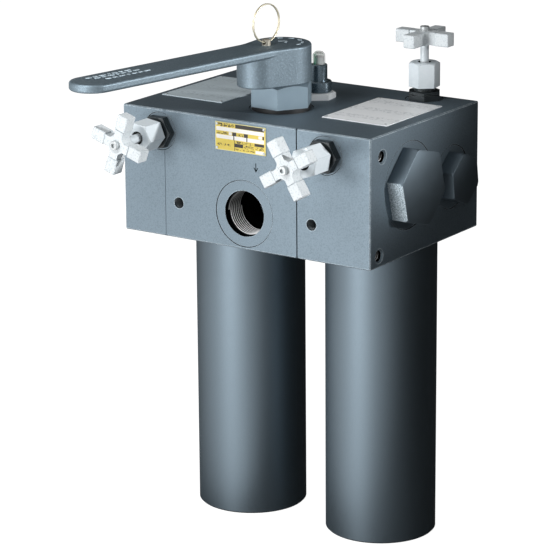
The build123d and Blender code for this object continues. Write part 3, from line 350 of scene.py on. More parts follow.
def face_point(valve):
    """Where a needle valve's axis meets the face it stands on."""
    _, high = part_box("head_block")
    x, y, z = JOINTS[valve + "_turn"]["pos_m"]
    return Vector((x, y, high.z)) if face_axis(valve) == "Z" else Vector((x, 0.0, z))


# Finishes
def head_finish():
    """Blackened, ground block: fine grain, pale edges that are partly wear and partly painted highlight, dark
    cut marks, and painted shade in the ports, holes and along the spotface edges.
    """
    finish = Finish("blackened_block", **SHEEN)
    cloud = finish.noise(45 * MM, 4.0)
    grain = finish.noise(0.5 * MM, 3.0, (9.0, 9.0, 1.0))
    speck = finish.noise(1.1 * MM, 2.0)
    base = finish.blend(cloud, tone(46, 54, 60), tone(56, 65, 71))
    base = finish.blend(0.4 * grain, base, tone(66, 76, 83))
    base = finish.blend(finish.step(speck, 0.48, 0.66) * 0.6, base, tone(22, 27, 30))
    x, y, _ = finish.axes()
    # Pale edges: partly wear, partly a painted highlight where the edges catch the light
    edge = finish.edges(1.2 * MM, 8.0) * finish.step(finish.noise(5 * MM), 0.3, 0.6, 0.4)
    for line in SCRIBED_LINES:
        edge = edge * (abs(x - line) > 2.0 * MM)
    base = finish.blend(edge, base, tone(206, 216, 221))
    # Dark cut marks (the crisp scribed line and the stamped arrow), with painted shade along the spotface
    # edges and inside the ports and holes
    marks_and_shade = (abs(x - SCRIBED_LINES[0]) < 0.6 * MM) * (y < 0.8 * MM)
    for cut in (spotface_shade(finish), bore_shade(finish), stamped_arrow(finish)):
        marks_and_shade = marks_and_shade.math("MAXIMUM", cut)
    base = finish.blend(marks_and_shade, base, tone(8, 10, 11))
    finish.set("Base Color", base)
    finish.set("Metallic", marks_and_shade)
    finish.set("Roughness", (0.38 + 0.08 * cloud + 0.30 * speck).math("MAXIMUM", marks_and_shade))
    finish.bump(0.5 * grain + 0.5 * speck - 3.0 * marks_and_shade, 0.03 * MM, 0.6)
    return finish.material


def bore_shade(finish):
    """Painted shade: 1 in the ports and in the tapped holes of the sides, which are painted dark."""
    inside = 0.0
    for mount in MOUNTS.values():
        if mount["kind"] == "threaded_hole":
            axis = "X" if abs(mount["axis"][0]) > 0.5 else "Y"
            across, along = finish.around(mount["pos_m"], axis)
            inside = (across < mount["dims"]["r_mm"] * MM + 0.2 * MM) * (along < PAINTED_SHADE_REACH) + inside
    return inside


def spotface_shade(finish):
    """Painted shade: 1 along the edges of the round spotfaces on the front, top, side and back faces."""
    low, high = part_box("head_block")
    lines = 0.0
    rings = [(MOUNTS[port]["pos_m"], "Y", PORT_SPOTFACE) for port in ("in_port", "out_port")]
    rings += [(face_point(valve), face_axis(valve), VALVE_SPOTFACE) for valve in VALVES]
    stem_x, stem_y, _ = JOINTS["lever_turn"]["pos_m"]
    rings.append(((stem_x, stem_y, high.z), "Z", BONNET_SPOTFACE))
    for side, face in (("left", low.x), ("right", high.x)):
        for plug, radius in PLUG_SPOTFACES.items():
            plug_low, plug_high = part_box(side + "_" + plug + "_plug")
            middle = (plug_low + plug_high) / 2
            rings.append(((face, middle.y, middle.z), "X", radius))
    for centre, axis, radius in rings:
        across, along = finish.around(tuple(centre), axis)
        lines = (abs(across - radius) < 0.3 * MM) * (along < 2.0 * MM) + lines
    return lines


def stamped_arrow(finish):
    """1 inside a plain arrow stamped above the inlet, pointing down into the port."""
    x, y, z = finish.axes(ARROW_PLACE)
    front = y < 0.5 * MM
    stem = (abs(x) < 0.45 * MM) * (abs(z) < ARROW_REACH)
    head = abs(abs(x) - (z + ARROW_REACH) * 0.55) < 0.5 * MM
    head = head * (z < -0.2 * MM) * (z > -4.6 * MM)
    return stem.math("MAXIMUM", head) * front


def plug_finish():
    """The same black oxide on the side plugs, with painted highlights on the edges and painted light,
    coarsely speckled, on the facet of the front ones that faces the light.
    """
    finish = Finish("blackened_plugs", **SHEEN)
    cloud = finish.noise(18 * MM, 4.0)
    grain = finish.noise(0.55 * MM, 3.0, (1.0, 6.0, 6.0))
    speck = finish.noise(0.9 * MM, 2.0)
    base = finish.blend(cloud, tone(20, 25, 28), tone(29, 35, 39))
    # Painted highlight along the edges
    edge = finish.edges(0.6 * MM)
    base = finish.blend(edge * 0.8, base, tone(150, 162, 168))
    # Painted light: the front plugs' facet that faces the light is painted bright, with coarse specks
    facing = finish.node("TexCoord", out="Normal")
    lit_facet = finish.node("VectorMath", {"operation": "DOT_PRODUCT"}, {0: facing, 1: LIT_FACET_FACING}, out="Value")
    _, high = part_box("right_front_plug")
    _, y, _ = finish.axes((0.0, high.y, 0.0))
    lit_facet = finish.step(lit_facet, 0.90, 0.95) * (y < 0.0)
    facet_light = finish.blend(finish.step(speck, 0.40, 0.62), tone(96, 110, 117), tone(206, 216, 221))
    base = finish.blend(lit_facet, base, facet_light)
    finish.set("Base Color", base)
    finish.set("Roughness", 0.50 + 0.1 * cloud)
    finish.bump(0.4 * grain + 0.6 * speck, 0.05 * MM, 0.4)
    return finish.material


def thread_finish(name, centre, axis, radius, ridge):
    """Cut thread of a bore: painted shade in the roots, a painted highlight on the crests in the lower part
    and painted shade on them higher up.
    """
    finish = Finish(name, Specular_IOR_Level=0.3)
    across, _ = finish.around(centre, axis)
    # Painted highlight on the crests, painted shade in the roots
    crest = finish.step(radius - across, 0.48 * ridge, 0.62 * ridge)
    _, _, z = finish.axes(centre)
    # Painted shade on the crests in the upper part of the bore
    crest = crest * finish.step(z, 0.35 * radius, -0.25 * radius, 0.15)
    wear = finish.noise(4.0 * MM, 2.0)
    bright = finish.blend(wear, tone(244, 247, 248), tone(254, 254, 254))
    finish.set("Base Color", finish.blend(crest, tone(3, 4, 4), bright))
    finish.set("Roughness", 0.4 + 0.2 * wear)
    finish.bump(wear, 0.01 * MM, 0.3)
    return finish.material


def bowl_finish():
    """Satin dark grey coat on the bowls, finely rippled, with faint drawing lines and painted highlights
    along the edges.
    """
    finish = Finish("bowl_coat", **SHEEN)
    cloud = finish.noise(60 * MM, 4.0, (1.0, 1.0, 3.0))
    ripple = finish.noise(1.3 * MM, 3.0)
    drawn = finish.noise(1.2 * MM, 3.0, (1.0, 1.0, 40.0))
    base = finish.blend(cloud, tone(20, 25, 28), tone(29, 35, 39))
    base = finish.blend(drawn * 0.3, base, tone(42, 50, 55))
    # Painted highlight along the edges
    edge = finish.edges(0.8 * MM)
    base = finish.blend(edge * 0.5, base, tone(96, 106, 112))
    finish.set("Base Color", base)
    finish.set("Roughness", 0.38 + 0.06 * cloud + 0.16 * ripple)
    finish.bump(0.7 * ripple + 0.3 * drawn, 0.03 * MM, 0.6)
    return finish.material


def cast_finish(name, light, dark):
    """Rough sand-cast iron with a dark coat, pale along the edges, partly from rubbing and partly as a
    painted highlight.
    """
    finish = Finish(name, **SHEEN)
    coarse = finish.noise(1.9 * MM, 5.0, roughness=0.65)
    fine = finish.noise(0.7 * MM, 3.0)
    cloud = finish.noise(30 * MM, 3.0)
    base = finish.blend(cloud, dark, light)
    base = finish.blend(finish.step(coarse, 0.52, 0.70) * 0.5, base, tone(116, 130, 137))
    base = finish.blend(finish.step(coarse, 0.48, 0.32) * 0.7, base, tone(26, 32, 35))
    # Pale edges: partly rubbed wear, partly a painted highlight
    edge = finish.edges(1.2 * MM, 2.5)
    base = finish.blend(edge * coarse, base, tone(150, 163, 170))
    finish.set("Base Color", base)
    finish.set("Roughness", 0.40 + 0.25 * fine)
    finish.bump(0.75 * coarse + 0.25 * fine, 0.5 * MM, 0.6)
    return finish.material


def indicator_finish():
    """Glossy black moulding of the indicator's collar and body, turned round its axis, with painted
    highlights along its edges.
    """
    finish = Finish("moulded_black", **SHEEN)
    turned = finish.noise(0.5 * MM, 3.0)
    base = finish.blend(turned, tone(44, 53, 57), tone(60, 71, 76))
    # Painted highlight along the edges
    finish.set("Base Color", finish.blend(finish.edges(0.7 * MM), base, tone(150, 164, 170)))
    finish.set("Roughness", 0.22 + 0.1 * turned)
    finish.bump(turned, 0.02 * MM, 0.5)
    return finish.material


def bonnet_finish():
    """The transfer bonnet's milled hexagon: fine upright milling lines under a satin oxide, with painted
    highlights along its edges.
    """
    finish = Finish("bonnet_oxide", **SHEEN)
    cloud = finish.noise(14 * MM, 3.0)
    milled = finish.noise(0.5 * MM, 3.0, (1.0, 1.0, 12.0))
    base = finish.blend(cloud, tone(96, 112, 122), tone(110, 126, 136))
    # Painted highlight along the edges
    edge = finish.edges(0.5 * MM)
    base = finish.blend(edge * 0.8, base, tone(170, 182, 188))
    finish.set("Base Color", base)
    finish.set("Roughness", 0.42 + 0.15 * milled)
    finish.bump(milled, 0.03 * MM, 0.6)
    return finish.material


def dark_valve_finish():
    """Blackened valve bodies with a shiny, slightly oily skin and painted highlights along their edges."""
    finish = Finish("blackened_valve", Specular_IOR_Level=0.6)
    cloud = finish.noise(5 * MM, 3.0)
    base = finish.blend(cloud, tone(24, 29, 31), tone(46, 54, 58))
    # Painted highlight along the edges
    edge = finish.edges(0.35 * MM)
    base = finish.blend(edge * 0.7, base, tone(138, 148, 152))
    finish.set("Base Color", base)
    finish.set("Metallic", 0.3)
    finish.set("Roughness", 0.32 + 0.2 * cloud)
    finish.bump(finish.noise(0.5 * MM), 0.05 * MM, 0.5)
    return finish.material


def bright_finish(name, light, dark, roughness, metallic=0.6):
    """Bright metal: cloudy plating over fine tool marks, darker in its grain."""
    finish = Finish(name, Metallic=metallic)
    cloud = finish.noise(6 * MM, 3.0)
    grain = finish.noise(0.35 * MM, 3.0)
    base = finish.blend(0.6 * cloud + 0.4 * grain, dark, light)
    finish.set("Base Color", base)
    finish.set("Roughness", roughness + 0.18 * grain)
    finish.bump(grain, 0.04 * MM, 0.5)
    return finish.material


def valve_bonnet_finish():
    """Bright plated valve bonnets, with painted shade along their edges and in the recess round the spindle.
    """
    finish = Finish("valve_bonnet_plating", Metallic=0.1)
    cloud = finish.noise(6 * MM, 3.0)
    grain = finish.noise(0.35 * MM, 3.0)
    base = finish.blend(0.6 * cloud + 0.4 * grain, tone(200, 211, 217), tone(228, 234, 238))
    # Painted shade along the edges
    base = finish.blend(finish.edges(0.8 * MM) * 0.7, base, tone(128, 143, 152))
    # Painted shade: the recess round each spindle is painted near-black
    recess = 0.0
    for valve in VALVES:
        across, along = finish.around(tuple(face_point(valve)), face_axis(valve))
        recess = (across < VALVE_RECESS_SHADE) * (along < PAINTED_SHADE_REACH) + recess
    base = finish.blend(recess, base, tone(12, 14, 16))
    finish.set("Base Color", base)
    finish.set("Roughness", 0.36 + 0.18 * grain)
    finish.bump(grain, 0.04 * MM, 0.5)
    return finish.material


def handle_finish():
    """Fine die-cast handles, bright and softly mottled, with painted shade along the edges."""
    finish = Finish("die_cast_handle", Specular_IOR_Level=0.6)
    mottle = finish.noise(1.6 * MM, 4.0, roughness=0.6)
    cloud = finish.noise(9 * MM, 2.0)
    base = finish.blend(cloud, tone(198, 205, 208), tone(212, 217, 220))
    base = finish.blend(finish.step(mottle, 0.48, 0.36) * 0.5, base, tone(150, 163, 170))
    # Painted shade along the edges
    base = finish.blend(finish.edges(1.1 * MM) * 0.8, base, tone(104, 120, 129))
    finish.set("Base Color", base)
    finish.set("Roughness", 0.40 + 0.2 * mottle)
    finish.bump(mottle, 0.12 * MM, 0.5)
    return finish.material


def plate_finish():
    """Thin bare aluminium plates: brushed, smudged, with faint unreadable rows; the right one is paler."""
    finish = Finish("bare_plate", Metallic=0.1)
    brushed = finish.noise(0.4 * MM, 3.0, (30.0, 1.0, 1.0))
    smudge = finish.noise(16 * MM, 4.0)
    x, y, _ = finish.axes()
    rows = (y / (5.2 * MM)).math("SINE")
    words = finish.noise(1.6 * MM, 2.0, (2.2, 1.0, 1.0))
    wear = finish.step(rows, 0.0, 0.6) * finish.step(words, 0.5, 0.62)
    right = x > 0.0
    base = finish.blend(smudge, tone(190, 204, 211), tone(206, 219, 225))
    base = finish.blend(right, base, finish.blend(smudge, tone(246, 249, 251), tone(252, 253, 254)))
    base = finish.blend(wear * 0.4, base, tone(124, 134, 140))
    base = finish.blend(brushed * 0.2, base, tone(150, 162, 168))
    finish.set("Base Color", base)
    finish.set("Roughness", 0.34 + 0.2 * brushed)
    finish.bump(brushed, 0.02 * MM, 0.6)
    return finish.material


def nameplate_finish():
    """Printed plate: yellow ground, black and white fields in a plain layout, nothing readable."""
    finish = Finish("printed_plate", Specular_IOR_Level=0.4)
    low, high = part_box("nameplate")
    x, _, z = finish.axes((low.x, 0.0, high.z))
    u = x / (high.x - low.x)
    v = z / (low.z - high.z)

    def fields(places):
        """1 inside any of the fields."""
        inside = 0.0
        for left, right, top, bottom in places:
            inside = (u > left) * (u < right) * (v > top) * (v < bottom) + inside
        return inside

    wear = finish.noise(3 * MM, 4.0)
    marks = finish.step(finish.noise(0.8 * MM, 1.0, (1.4, 1.0, 1.0)), 0.50, 0.54)
    base = finish.blend(wear, tone(206, 182, 70), tone(220, 200, 98))
    base = finish.blend(fields(WHITE_FIELDS), base, tone(232, 230, 226))
    base = finish.blend(fields(MARK_FIELDS) * marks, base, tone(52, 38, 24))
    base = finish.blend(fields(BLACK_FIELDS), base, tone(36, 31, 28))
    border = (abs(u - 0.5) > 0.49) + (abs(v - 0.5) > 0.48)
    base = finish.blend(border, base, tone(224, 214, 150))
    finish.set("Base Color", base)
    finish.set("Roughness", 0.34 + 0.2 * wear)
    finish.bump(finish.noise(0.4 * MM), 0.02 * MM, 0.4)
    return finish.material


def dull_finish(name, first, second, size, roughness):
    """A matt or satin non-metal with a mottled colour and a fine grain."""
    finish = Finish(name)
    grain = finish.noise(size, 4.0)
    finish.set("Base Color", finish.blend(grain, first, second))
    finish.set("Roughness", roughness + 0.15 * grain)
    finish.bump(grain, 0.05 * MM, 0.6)
    return finish.material


def lens_finish():
    """Clear dome with fine scratches: green on one side where the signal shows through, a painted white
    reflection on the other, and brownish near the top.
    """
    finish = Finish("clear_dome", Alpha=0.38, Specular_IOR_Level=0.9)
    low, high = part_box("indicator_lens")
    x, _, z = finish.axes(((low.x + high.x) / 2, 0.0, high.z))
    scratch = finish.noise(0.5 * MM, 3.0, (1.0, 1.0, 6.0))
    # Painted reflection: white on one side of the dome, the signal's green on the other
    base = finish.blend(finish.step(x, -1.0 * MM, 1.5 * MM), tone(84, 214, 168), tone(250, 253, 252))
    base = finish.blend(finish.step(z, -2.2 * MM, -1.2 * MM) * 0.7, base, tone(128, 112, 108))
    finish.set("Base Color", finish.blend(scratch * 0.3, base, tone(246, 250, 248)))
    finish.set("Roughness", 0.05 + 0.12 * scratch)
    return finish.material


def signal_finish():
    """The spool's moulded head: green, with a painted white reflection on one side and a dull red top."""
    finish = Finish("signal_head", Specular_IOR_Level=0.6)
    low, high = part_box("indicator_spool")
    x, _, z = finish.axes(((low.x + high.x) / 2, 0.0, high.z))
    grain = finish.noise(0.6 * MM, 3.0)
    base = finish.blend(grain, tone(60, 186, 142), tone(84, 206, 162))
    # Painted reflection: white on one side of the head
    base = finish.blend(x > 1.2 * MM, base, tone(250, 252, 251))
    base = finish.blend(z > -1.4 * MM, base, tone(150, 104, 98))
    finish.set("Base Color", base)
    finish.set("Roughness", 0.3 + 0.15 * grain)
    finish.bump(grain, 0.03 * MM, 0.4)
    return finish.material


def media_finish():
    """Woven mesh over the pleated filter medium."""
    finish = Finish("pleated_mesh")
    mottle = finish.noise(2.0 * MM, 2.0)
    _, _, z = finish.axes()
    weave = (z / (0.25 * MM)).math("SINE") * 0.25 + 0.5
    base = finish.blend(0.5 * mottle + 0.4 * weave, tone(206, 200, 178), tone(232, 228, 212))
    finish.set("Base Color", base)
    finish.set("Roughness", 0.7 + 0.2 * mottle)
    finish.bump(weave + mottle, 0.08 * MM, 0.6)
    return finish.material


# Finishes by material slot, and some more that single nodes or the pieces of this script have
FINISHES = {
    "blackened_steel": head_finish(),
    "plugs": plug_finish(),
    "bowl_finish": bowl_finish(),
    "bonnet_steel": bonnet_finish(),
    "nameplate": nameplate_finish(),
    "bare_plate": plate_finish(),
    "rubber": dull_finish("black_rubber", tone(10, 12, 14), tone(22, 25, 28), 1.2 * MM, 0.45),
    "machined_steel": bright_finish("turned_steel", tone(196, 200, 202), tone(150, 156, 160), 0.25),
    "cast_iron": cast_finish("sand_cast_iron", tone(62, 73, 79), tone(48, 57, 62)),
    # Raised cast marks: lighter than the lever, partly from wear and partly a painted highlight
    "worn_and_highlit_cast": cast_finish("worn_and_highlit_cast_marks", tone(186, 198, 204), tone(120, 132, 138)),
    "screw_steel": bright_finish("screw_steel", tone(206, 208, 208), tone(158, 166, 170), 0.28),
    "brass": bright_finish("pin_steel", tone(206, 200, 184), tone(146, 142, 132), 0.3),
    "spring_steel": bright_finish("spring_wire", tone(150, 154, 158), tone(96, 100, 104), 0.3),
    "ring_steel": bright_finish("gilded_wire", tone(246, 242, 226), tone(206, 194, 160), 0.26),
    "valve_body": dark_valve_finish(),
    "bright_steel": bright_finish("bright_plating", tone(226, 232, 236), tone(196, 206, 211), 0.34, 0.1),
    "indicator_plating": bright_finish(
        "indicator_plating", tone(250, 252, 253), tone(232, 238, 241), 0.34, 0.1
    ),
    "valve_bonnet": valve_bonnet_finish(),
    "handle_alloy": handle_finish(),
    "packing": dull_finish("white_packing", tone(206, 202, 190), tone(232, 230, 222), 1.0 * MM, 0.5),
    "indicator_black": indicator_finish(),
    "clear_plastic": lens_finish(),
    "signal_plastic": signal_finish(),
    "filter_media": media_finish(),
    "core_tin": bright_finish("tinned_core", tone(196, 198, 198), tone(150, 154, 156), 0.35),
    "cap_metal": bright_finish("pressed_cap", tone(206, 206, 202), tone(160, 162, 162), 0.35),
}
NODE_FINISH = {name: "plugs" for name in NODES if name.endswith("_plug") and name != "transfer_plug"}
NODE_FINISH.update({valve + "_bonnet": "valve_bonnet" for valve in VALVES})
NODE_FINISH["indicator_base"] = "indicator_plating"


def dress_nodes():
    """Gives every CAD node the finish of its slot, or the one that NODE_FINISH names."""
    for part in frame["record"]["subparts"]:
        key = NODE_FINISH.get(part["node"], part["material_slot"])
        piece = NODES[part["node"]]
        piece.data.materials.clear()
        piece.data.materials.append(FINISHES[key])


# Modelling helpers
def select(*pieces):
    """Selects these pieces only and makes the first one active."""
    bpy.ops.object.select_all(action="DESELECT")
    for piece in pieces:
        piece.select_set(True)
    bpy.context.view_layer.objects.active = pieces[0]


def apply_place(piece):
    """Moves the object's place, turn and scale into its mesh."""
    select(piece)
    bpy.ops.object.transform_apply(location=True, rotation=True, scale=True)


def apply_modifiers(piece):
    select(piece)
    for modifier in list(piece.modifiers):
        bpy.ops.object.modifier_apply(modifier=modifier.name)


def edit(piece, pick=None, domain="FACE"):
    """Goes into edit mode with the faces or corners that pick says selected, or with all."""
    select(piece)
    bpy.ops.object.mode_set(mode="EDIT")
    bpy.ops.mesh.select_mode(type=domain)
    bpy.ops.mesh.select_all(action="SELECT" if pick is None else "DESELECT")
    bpy.ops.object.mode_set(mode="OBJECT")
    if pick is not None:
        items = piece.data.vertices if domain == "VERT" else piece.data.polygons
        for item in items:
            item.select = pick(item)
    bpy.ops.object.mode_set(mode="EDIT")


def leave_edit():
    bpy.ops.object.mode_set(mode="OBJECT")


def outward(piece):
    """Merges doubles and turns all faces outwards."""
    edit(piece)
    bpy.ops.mesh.remove_doubles(threshold=1e-7)
    bpy.ops.mesh.normals_make_consistent(inside=False)
    leave_edit()


def hand_over(piece, name, body, finish, angle=30.0):
    """Names a finished piece, smooths it, and gives it its body, slot and finish."""
    apply_place(piece)
    piece.name = name
    piece.data.name = name
    bpy.ops.object.shade_smooth_by_angle(angle=math.radians(angle))
    piece.data.materials.clear()
    piece.data.materials.append(FINISHES[finish])
    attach(piece, body)


def joined(pieces):
    """Joins pieces into the first one."""
    select(*pieces)
    bpy.ops.object.join()
    return bpy.context.object


def towards(axis):
    """The turn that brings +Z onto an axis."""
    return Vector(axis).to_track_quat("Z", "Y").to_matrix().to_4x4()


def wind(outline, pitch, turns):
    """Screws an upright outline up round Z and closes its two ends."""
    corners = len(outline.data.vertices)
    screw = outline.modifiers.new("helix", "SCREW")
    screw.axis = "Z"
    screw.angle = 2 * math.pi
    screw.screw_offset = pitch
    screw.iterations = turns
    screw.steps = THREAD_STEPS
    screw.render_steps = THREAD_STEPS
    apply_modifiers(outline)
    edit(outline)
    bpy.ops.mesh.fill_holes(sides=corners)
    leave_edit()
    outward(outline)


def thread(radius, crest, pitch, length, start, axis, inward=True):
    """A helical ridge on a plain round wall, from a start point along an axis.

    Its outline is a triangle that stands crest off the wall and covers about 0.7 of the pitch.
    """
    side = -1.0 if inward else 1.0
    bpy.ops.mesh.primitive_circle_add(
        vertices=3, radius=crest * 2 / 3, fill_type="NOTHING", location=(radius + side * crest / 3, 0, 0),
        rotation=(math.radians(90), 0, 0),
    )
    ridge = bpy.context.object
    ridge.rotation_euler.y = math.radians(90) * side
    apply_place(ridge)
    edit(ridge)
    bpy.ops.transform.resize(value=(1.0, 1.0, pitch / (crest * 1.6)))
    leave_edit()
    wind(ridge, pitch, int(length / pitch))
    ridge.matrix_world = Matrix.Translation(Vector(start)) @ towards(axis)
    apply_place(ridge)
    return ridge


def mount_thread(name, pitch, crest, lead):
    """Threads a round mount from a little inside its mouth to a turn and a half before its end."""
    mount = MOUNTS[name]
    axis = Vector(mount["axis"])
    start = Vector(mount["pos_m"]) - axis * lead
    radius = mount["dims"]["r_mm"] * MM
    length = mount["dims"]["length_mm"] * MM - lead - 1.5 * pitch
    ridge = thread(radius, crest, pitch, length, start, -axis)
    across = "X" if abs(axis.x) > 0.5 else "Y"
    FINISHES[name] = thread_finish(name + "_cut", mount["pos_m"], across, radius, crest)
    hand_over(ridge, name + "_thread", "head", name)


def front_hole_threads():
    """Threads of the two fixing holes in the front face."""
    mount = MOUNTS["front_holes"]
    pieces = []
    for side in (-1, 1):
        x = side * mount["dims"]["spacing_x_mm"] * MM / 2
        start = Vector((x, mount["pos_m"][1] + HOLE_PITCH, 0.0))
        radius = mount["dims"]["hole_r_mm"] * MM
        pieces.append(thread(radius, HOLE_CREST, HOLE_PITCH, HOLE_THREAD, start, (0, 1, 0)))
    hand_over(joined(pieces), "front_hole_threads", "head", "valve_body")


def neck_threads():
    """The thread that shows on each needle valve between its body's hexagon and the bonnet."""
    for valve in VALVES:
        axis = Vector(JOINTS[valve + "_turn"]["axis"])
        start = face_point(valve) + axis * NECK_FOOT
        ridge = thread(NECK_RADIUS, NECK_CREST, NECK_PITCH, NECK_THREAD, start, axis, inward=False)
        hand_over(ridge, valve + "_neck_thread", "head", "valve_body")


def return_spring(node, joint, body, wire, turns, travel):
    """A coil of wire in place of a spring node, moving with its body."""
    low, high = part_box(node)
    middle = (low + high) / 2
    height = high.z - low.z
    bpy.ops.mesh.primitive_circle_add(
        vertices=10, radius=wire, fill_type="NOTHING", location=((high.x - low.x) / 2 - wire, 0, 0),
        rotation=(math.radians(90), 0, 0),
    )
    coil = bpy.context.object
    apply_place(coil)
    wind(coil, (height - 2 * wire) / turns, turns)
    coil.matrix_world = Matrix.Translation((middle.x, middle.y, low.z + wire))
    hand_over(coil, node + "_coil", body, "spring_steel", angle=60.0)
    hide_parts(node)
    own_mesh(coil)


def split_ring():
    """The pull ring: two flat turns of wire with one short crossing between them."""
    centre = Vector(JOINTS["ring_swing"]["pos_m"]) + Vector((0, 0, RING_RADIUS))
    bpy.ops.mesh.primitive_circle_add(
        vertices=12, radius=RING_WIRE, fill_type="NGON", location=(-RING_OFFSET, RING_RADIUS, 0)
    )
    ring = bpy.context.object
    apply_place(ring)
    edit(ring)
    flat = math.radians(360.0 - RING_CROSSING / 2)
    crossing_step = math.radians(RING_CROSSING / RING_CROSSING_STEPS)
    bpy.ops.mesh.spin(steps=RING_STEPS, angle=flat, center=(0, 0, 0), axis=(1, 0, 0))
    for _ in range(RING_CROSSING_STEPS):
        bpy.ops.mesh.spin(steps=1, angle=crossing_step, center=(0, 0, 0), axis=(1, 0, 0))
        bpy.ops.transform.translate(value=(2 * RING_OFFSET / RING_CROSSING_STEPS, 0, 0))
    bpy.ops.mesh.spin(steps=RING_STEPS, angle=flat, center=(0, 0, 0), axis=(1, 0, 0))
    leave_edit()
    outward(ring)
    turn = Matrix.Rotation(math.radians(RING_TURN), 4, "Z")
    turn = turn @ Matrix.Rotation(math.radians(RING_CROSSING_PLACE), 4, "X")
    ring.matrix_world = Matrix.Translation(centre) @ turn
    hand_over(ring, "split_ring", "pull_ring_unit", "ring_steel", angle=60.0)
    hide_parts("pull_ring")


def side_plug(side, plug):
    """A hexagon plug: sharp hexagon face with ground corners, and its shank up to the soft ring's groove."""
    node = side + "_" + plug + "_plug"
    low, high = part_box(node)
    block_low, block_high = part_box("head_block")
    if side == "right":
        seat, face, end, way = block_high.x - SEAT_DEPTH, high.x, low.x, 1.0
    else:
        seat, face, end, way = block_low.x + SEAT_DEPTH, low.x, high.x, -1.0
    middle = (low + high) / 2
    outline = [Vector((point.co.y - middle.y, point.co.z - middle.z)) for point in NODES[node].data.vertices]
    corner = max(outline, key=lambda point: point.length)
    turn = math.atan2(corner.y, corner.x) - math.pi / 2
    bpy.ops.mesh.primitive_cylinder_add(
        vertices=6, radius=corner.length, depth=abs(face - seat), location=(0, 0, (face + seat) / 2),
        rotation=(0, 0, turn),
    )
    head = bpy.context.object
    apply_place(head)
    edit(head, lambda point: point.co.z * way > (face + seat) / 2 * way, "VERT")
    bpy.ops.mesh.bevel(offset=PLUG_CORNER, segments=1, affect="VERTICES")
    leave_edit()
    rounding = head.modifiers.new("round", "BEVEL")
    rounding.width = PLUG_ROUND
    rounding.segments = 2
    apply_modifiers(head)
    bpy.ops.mesh.primitive_cylinder_add(
        vertices=64, radius=PLUG_SHANKS[plug] * SHANK_SHARE, depth=abs(seat - end),
        location=(0, 0, (seat + end) / 2),
    )
    shank = bpy.context.object
    apply_place(shank)
    whole = joined([head, shank])
    along_x = Matrix(((0, 0, 1, 0), (1, 0, 0, 0), (0, 1, 0, 0), (0, 0, 0, 1)))
    whole.matrix_world = Matrix.Translation((0, middle.y, middle.z)) @ along_x
    hand_over(whole, node + "_screw", "head", "plugs")
    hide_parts(node)


def rivet():
    """A low domed rivet head on the XY plane at the origin."""
    bpy.ops.mesh.primitive_uv_sphere_add(segments=20, ring_count=12, radius=RIVET_RADIUS)
    head = bpy.context.object
    edit(head)
    bpy.ops.mesh.bisect(plane_co=(0, 0, 0), plane_no=(0, 0, 1), clear_inner=True, use_fill=True)
    leave_edit()
    edit(head)
    bpy.ops.transform.resize(value=(1.0, 1.0, RIVET_RISE / RIVET_RADIUS))
    leave_edit()
    return head


def rivets(name, places, axis):
    """Rivet heads at the given places, facing along an axis."""
    heads = []
    for place in places:
        head = rivet()
        head.matrix_world = Matrix.Translation(Vector(place)) @ towards(axis)
        apply_place(head)
        heads.append(head)
    hand_over(joined(heads), name, "head", "screw_steel", angle=60.0)


def plate_rivets():
    """Four rivets at the corners of each plate."""
    low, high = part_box("nameplate")
    inset = NAMEPLATE_RIVET_INSET
    places = [(x, low.y, z) for x in (low.x + inset, high.x - inset) for z in (low.z + inset, high.z - inset)]
    rivets("nameplate_rivets", places, (0, -1, 0))
    low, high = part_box("top_plates")
    inset = TOP_RIVET_INSET
    places = []
    for left in (low.x, high.x - TOP_PLATE_WIDTH):
        for x in (left + inset, left + TOP_PLATE_WIDTH - inset):
            for y in (low.y + inset, high.y - inset):
                places.append((x, y, high.z))
    rivets("top_plate_rivets", places, (0, 0, 1))


def cast_mark(length, width, rise):
    """One raised bar with rounded sides, along X on the XY plane."""
    bpy.ops.mesh.primitive_cube_add(size=1.0, location=(0, 0, rise / 2))
    bar = bpy.context.object
    bar.scale = (length, width, rise)
    apply_place(bar)
    edit(bar, lambda face: face.normal.z > 0.9)
    bpy.ops.transform.resize(value=(1 - 0.6 * rise / length, 1 - 0.9 * rise / width, 1.0))
    leave_edit()
    bevel = bar.modifiers.new("round", "BEVEL")
    bevel.width = rise * 0.4
    bevel.segments = 2
    apply_modifiers(bar)
    return bar


def lever_marks():
    """Plain raised cast bars on the lever: rows near its tip, an arrow and an arc of bars on the hub."""
    _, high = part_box("transfer_lever")
    stem_x, stem_y, _ = JOINTS["lever_turn"]["pos_m"]
    along_lever = Matrix.Rotation(math.radians(LEVER_DIRECTION), 4, "Z")
    base = Matrix.Translation((stem_x, stem_y, high.z - 0.02 * MM)) @ along_lever
    bars = []

    def add_mark(length, x, y, turn):
        bar = cast_mark(length * MM, MARK_WIDTH, MARK_RISE)
        place = Matrix.Translation((x * MM, y * MM, 0)) @ Matrix.Rotation(math.radians(turn), 4, "Z")
        bar.matrix_world = base @ place
        apply_place(bar)
        bars.append(bar)

    for row, y in enumerate(MARK_ROWS):
        x = MARK_START - ROW_SHIFT * row
        for length in MARK_LENGTHS:
            add_mark(length, x + length / 2, y, 0.0)
            x += length + MARK_GAP
    for turn in HUB_ARC:
        angle = math.radians(turn)
        add_mark(HUB_MARK, HUB_RADIUS * math.cos(angle), HUB_RADIUS * math.sin(angle), turn + 90)
    for side in (-1, 1):
        add_mark(ARROW_MARK, ARROW_MARK_X, side * ARROW_MARK_Y, side * ARROW_MARK_TURN)
    hand_over(joined(bars), "lever_cast_marks", "transfer", "worn_and_highlit_cast", angle=50.0)


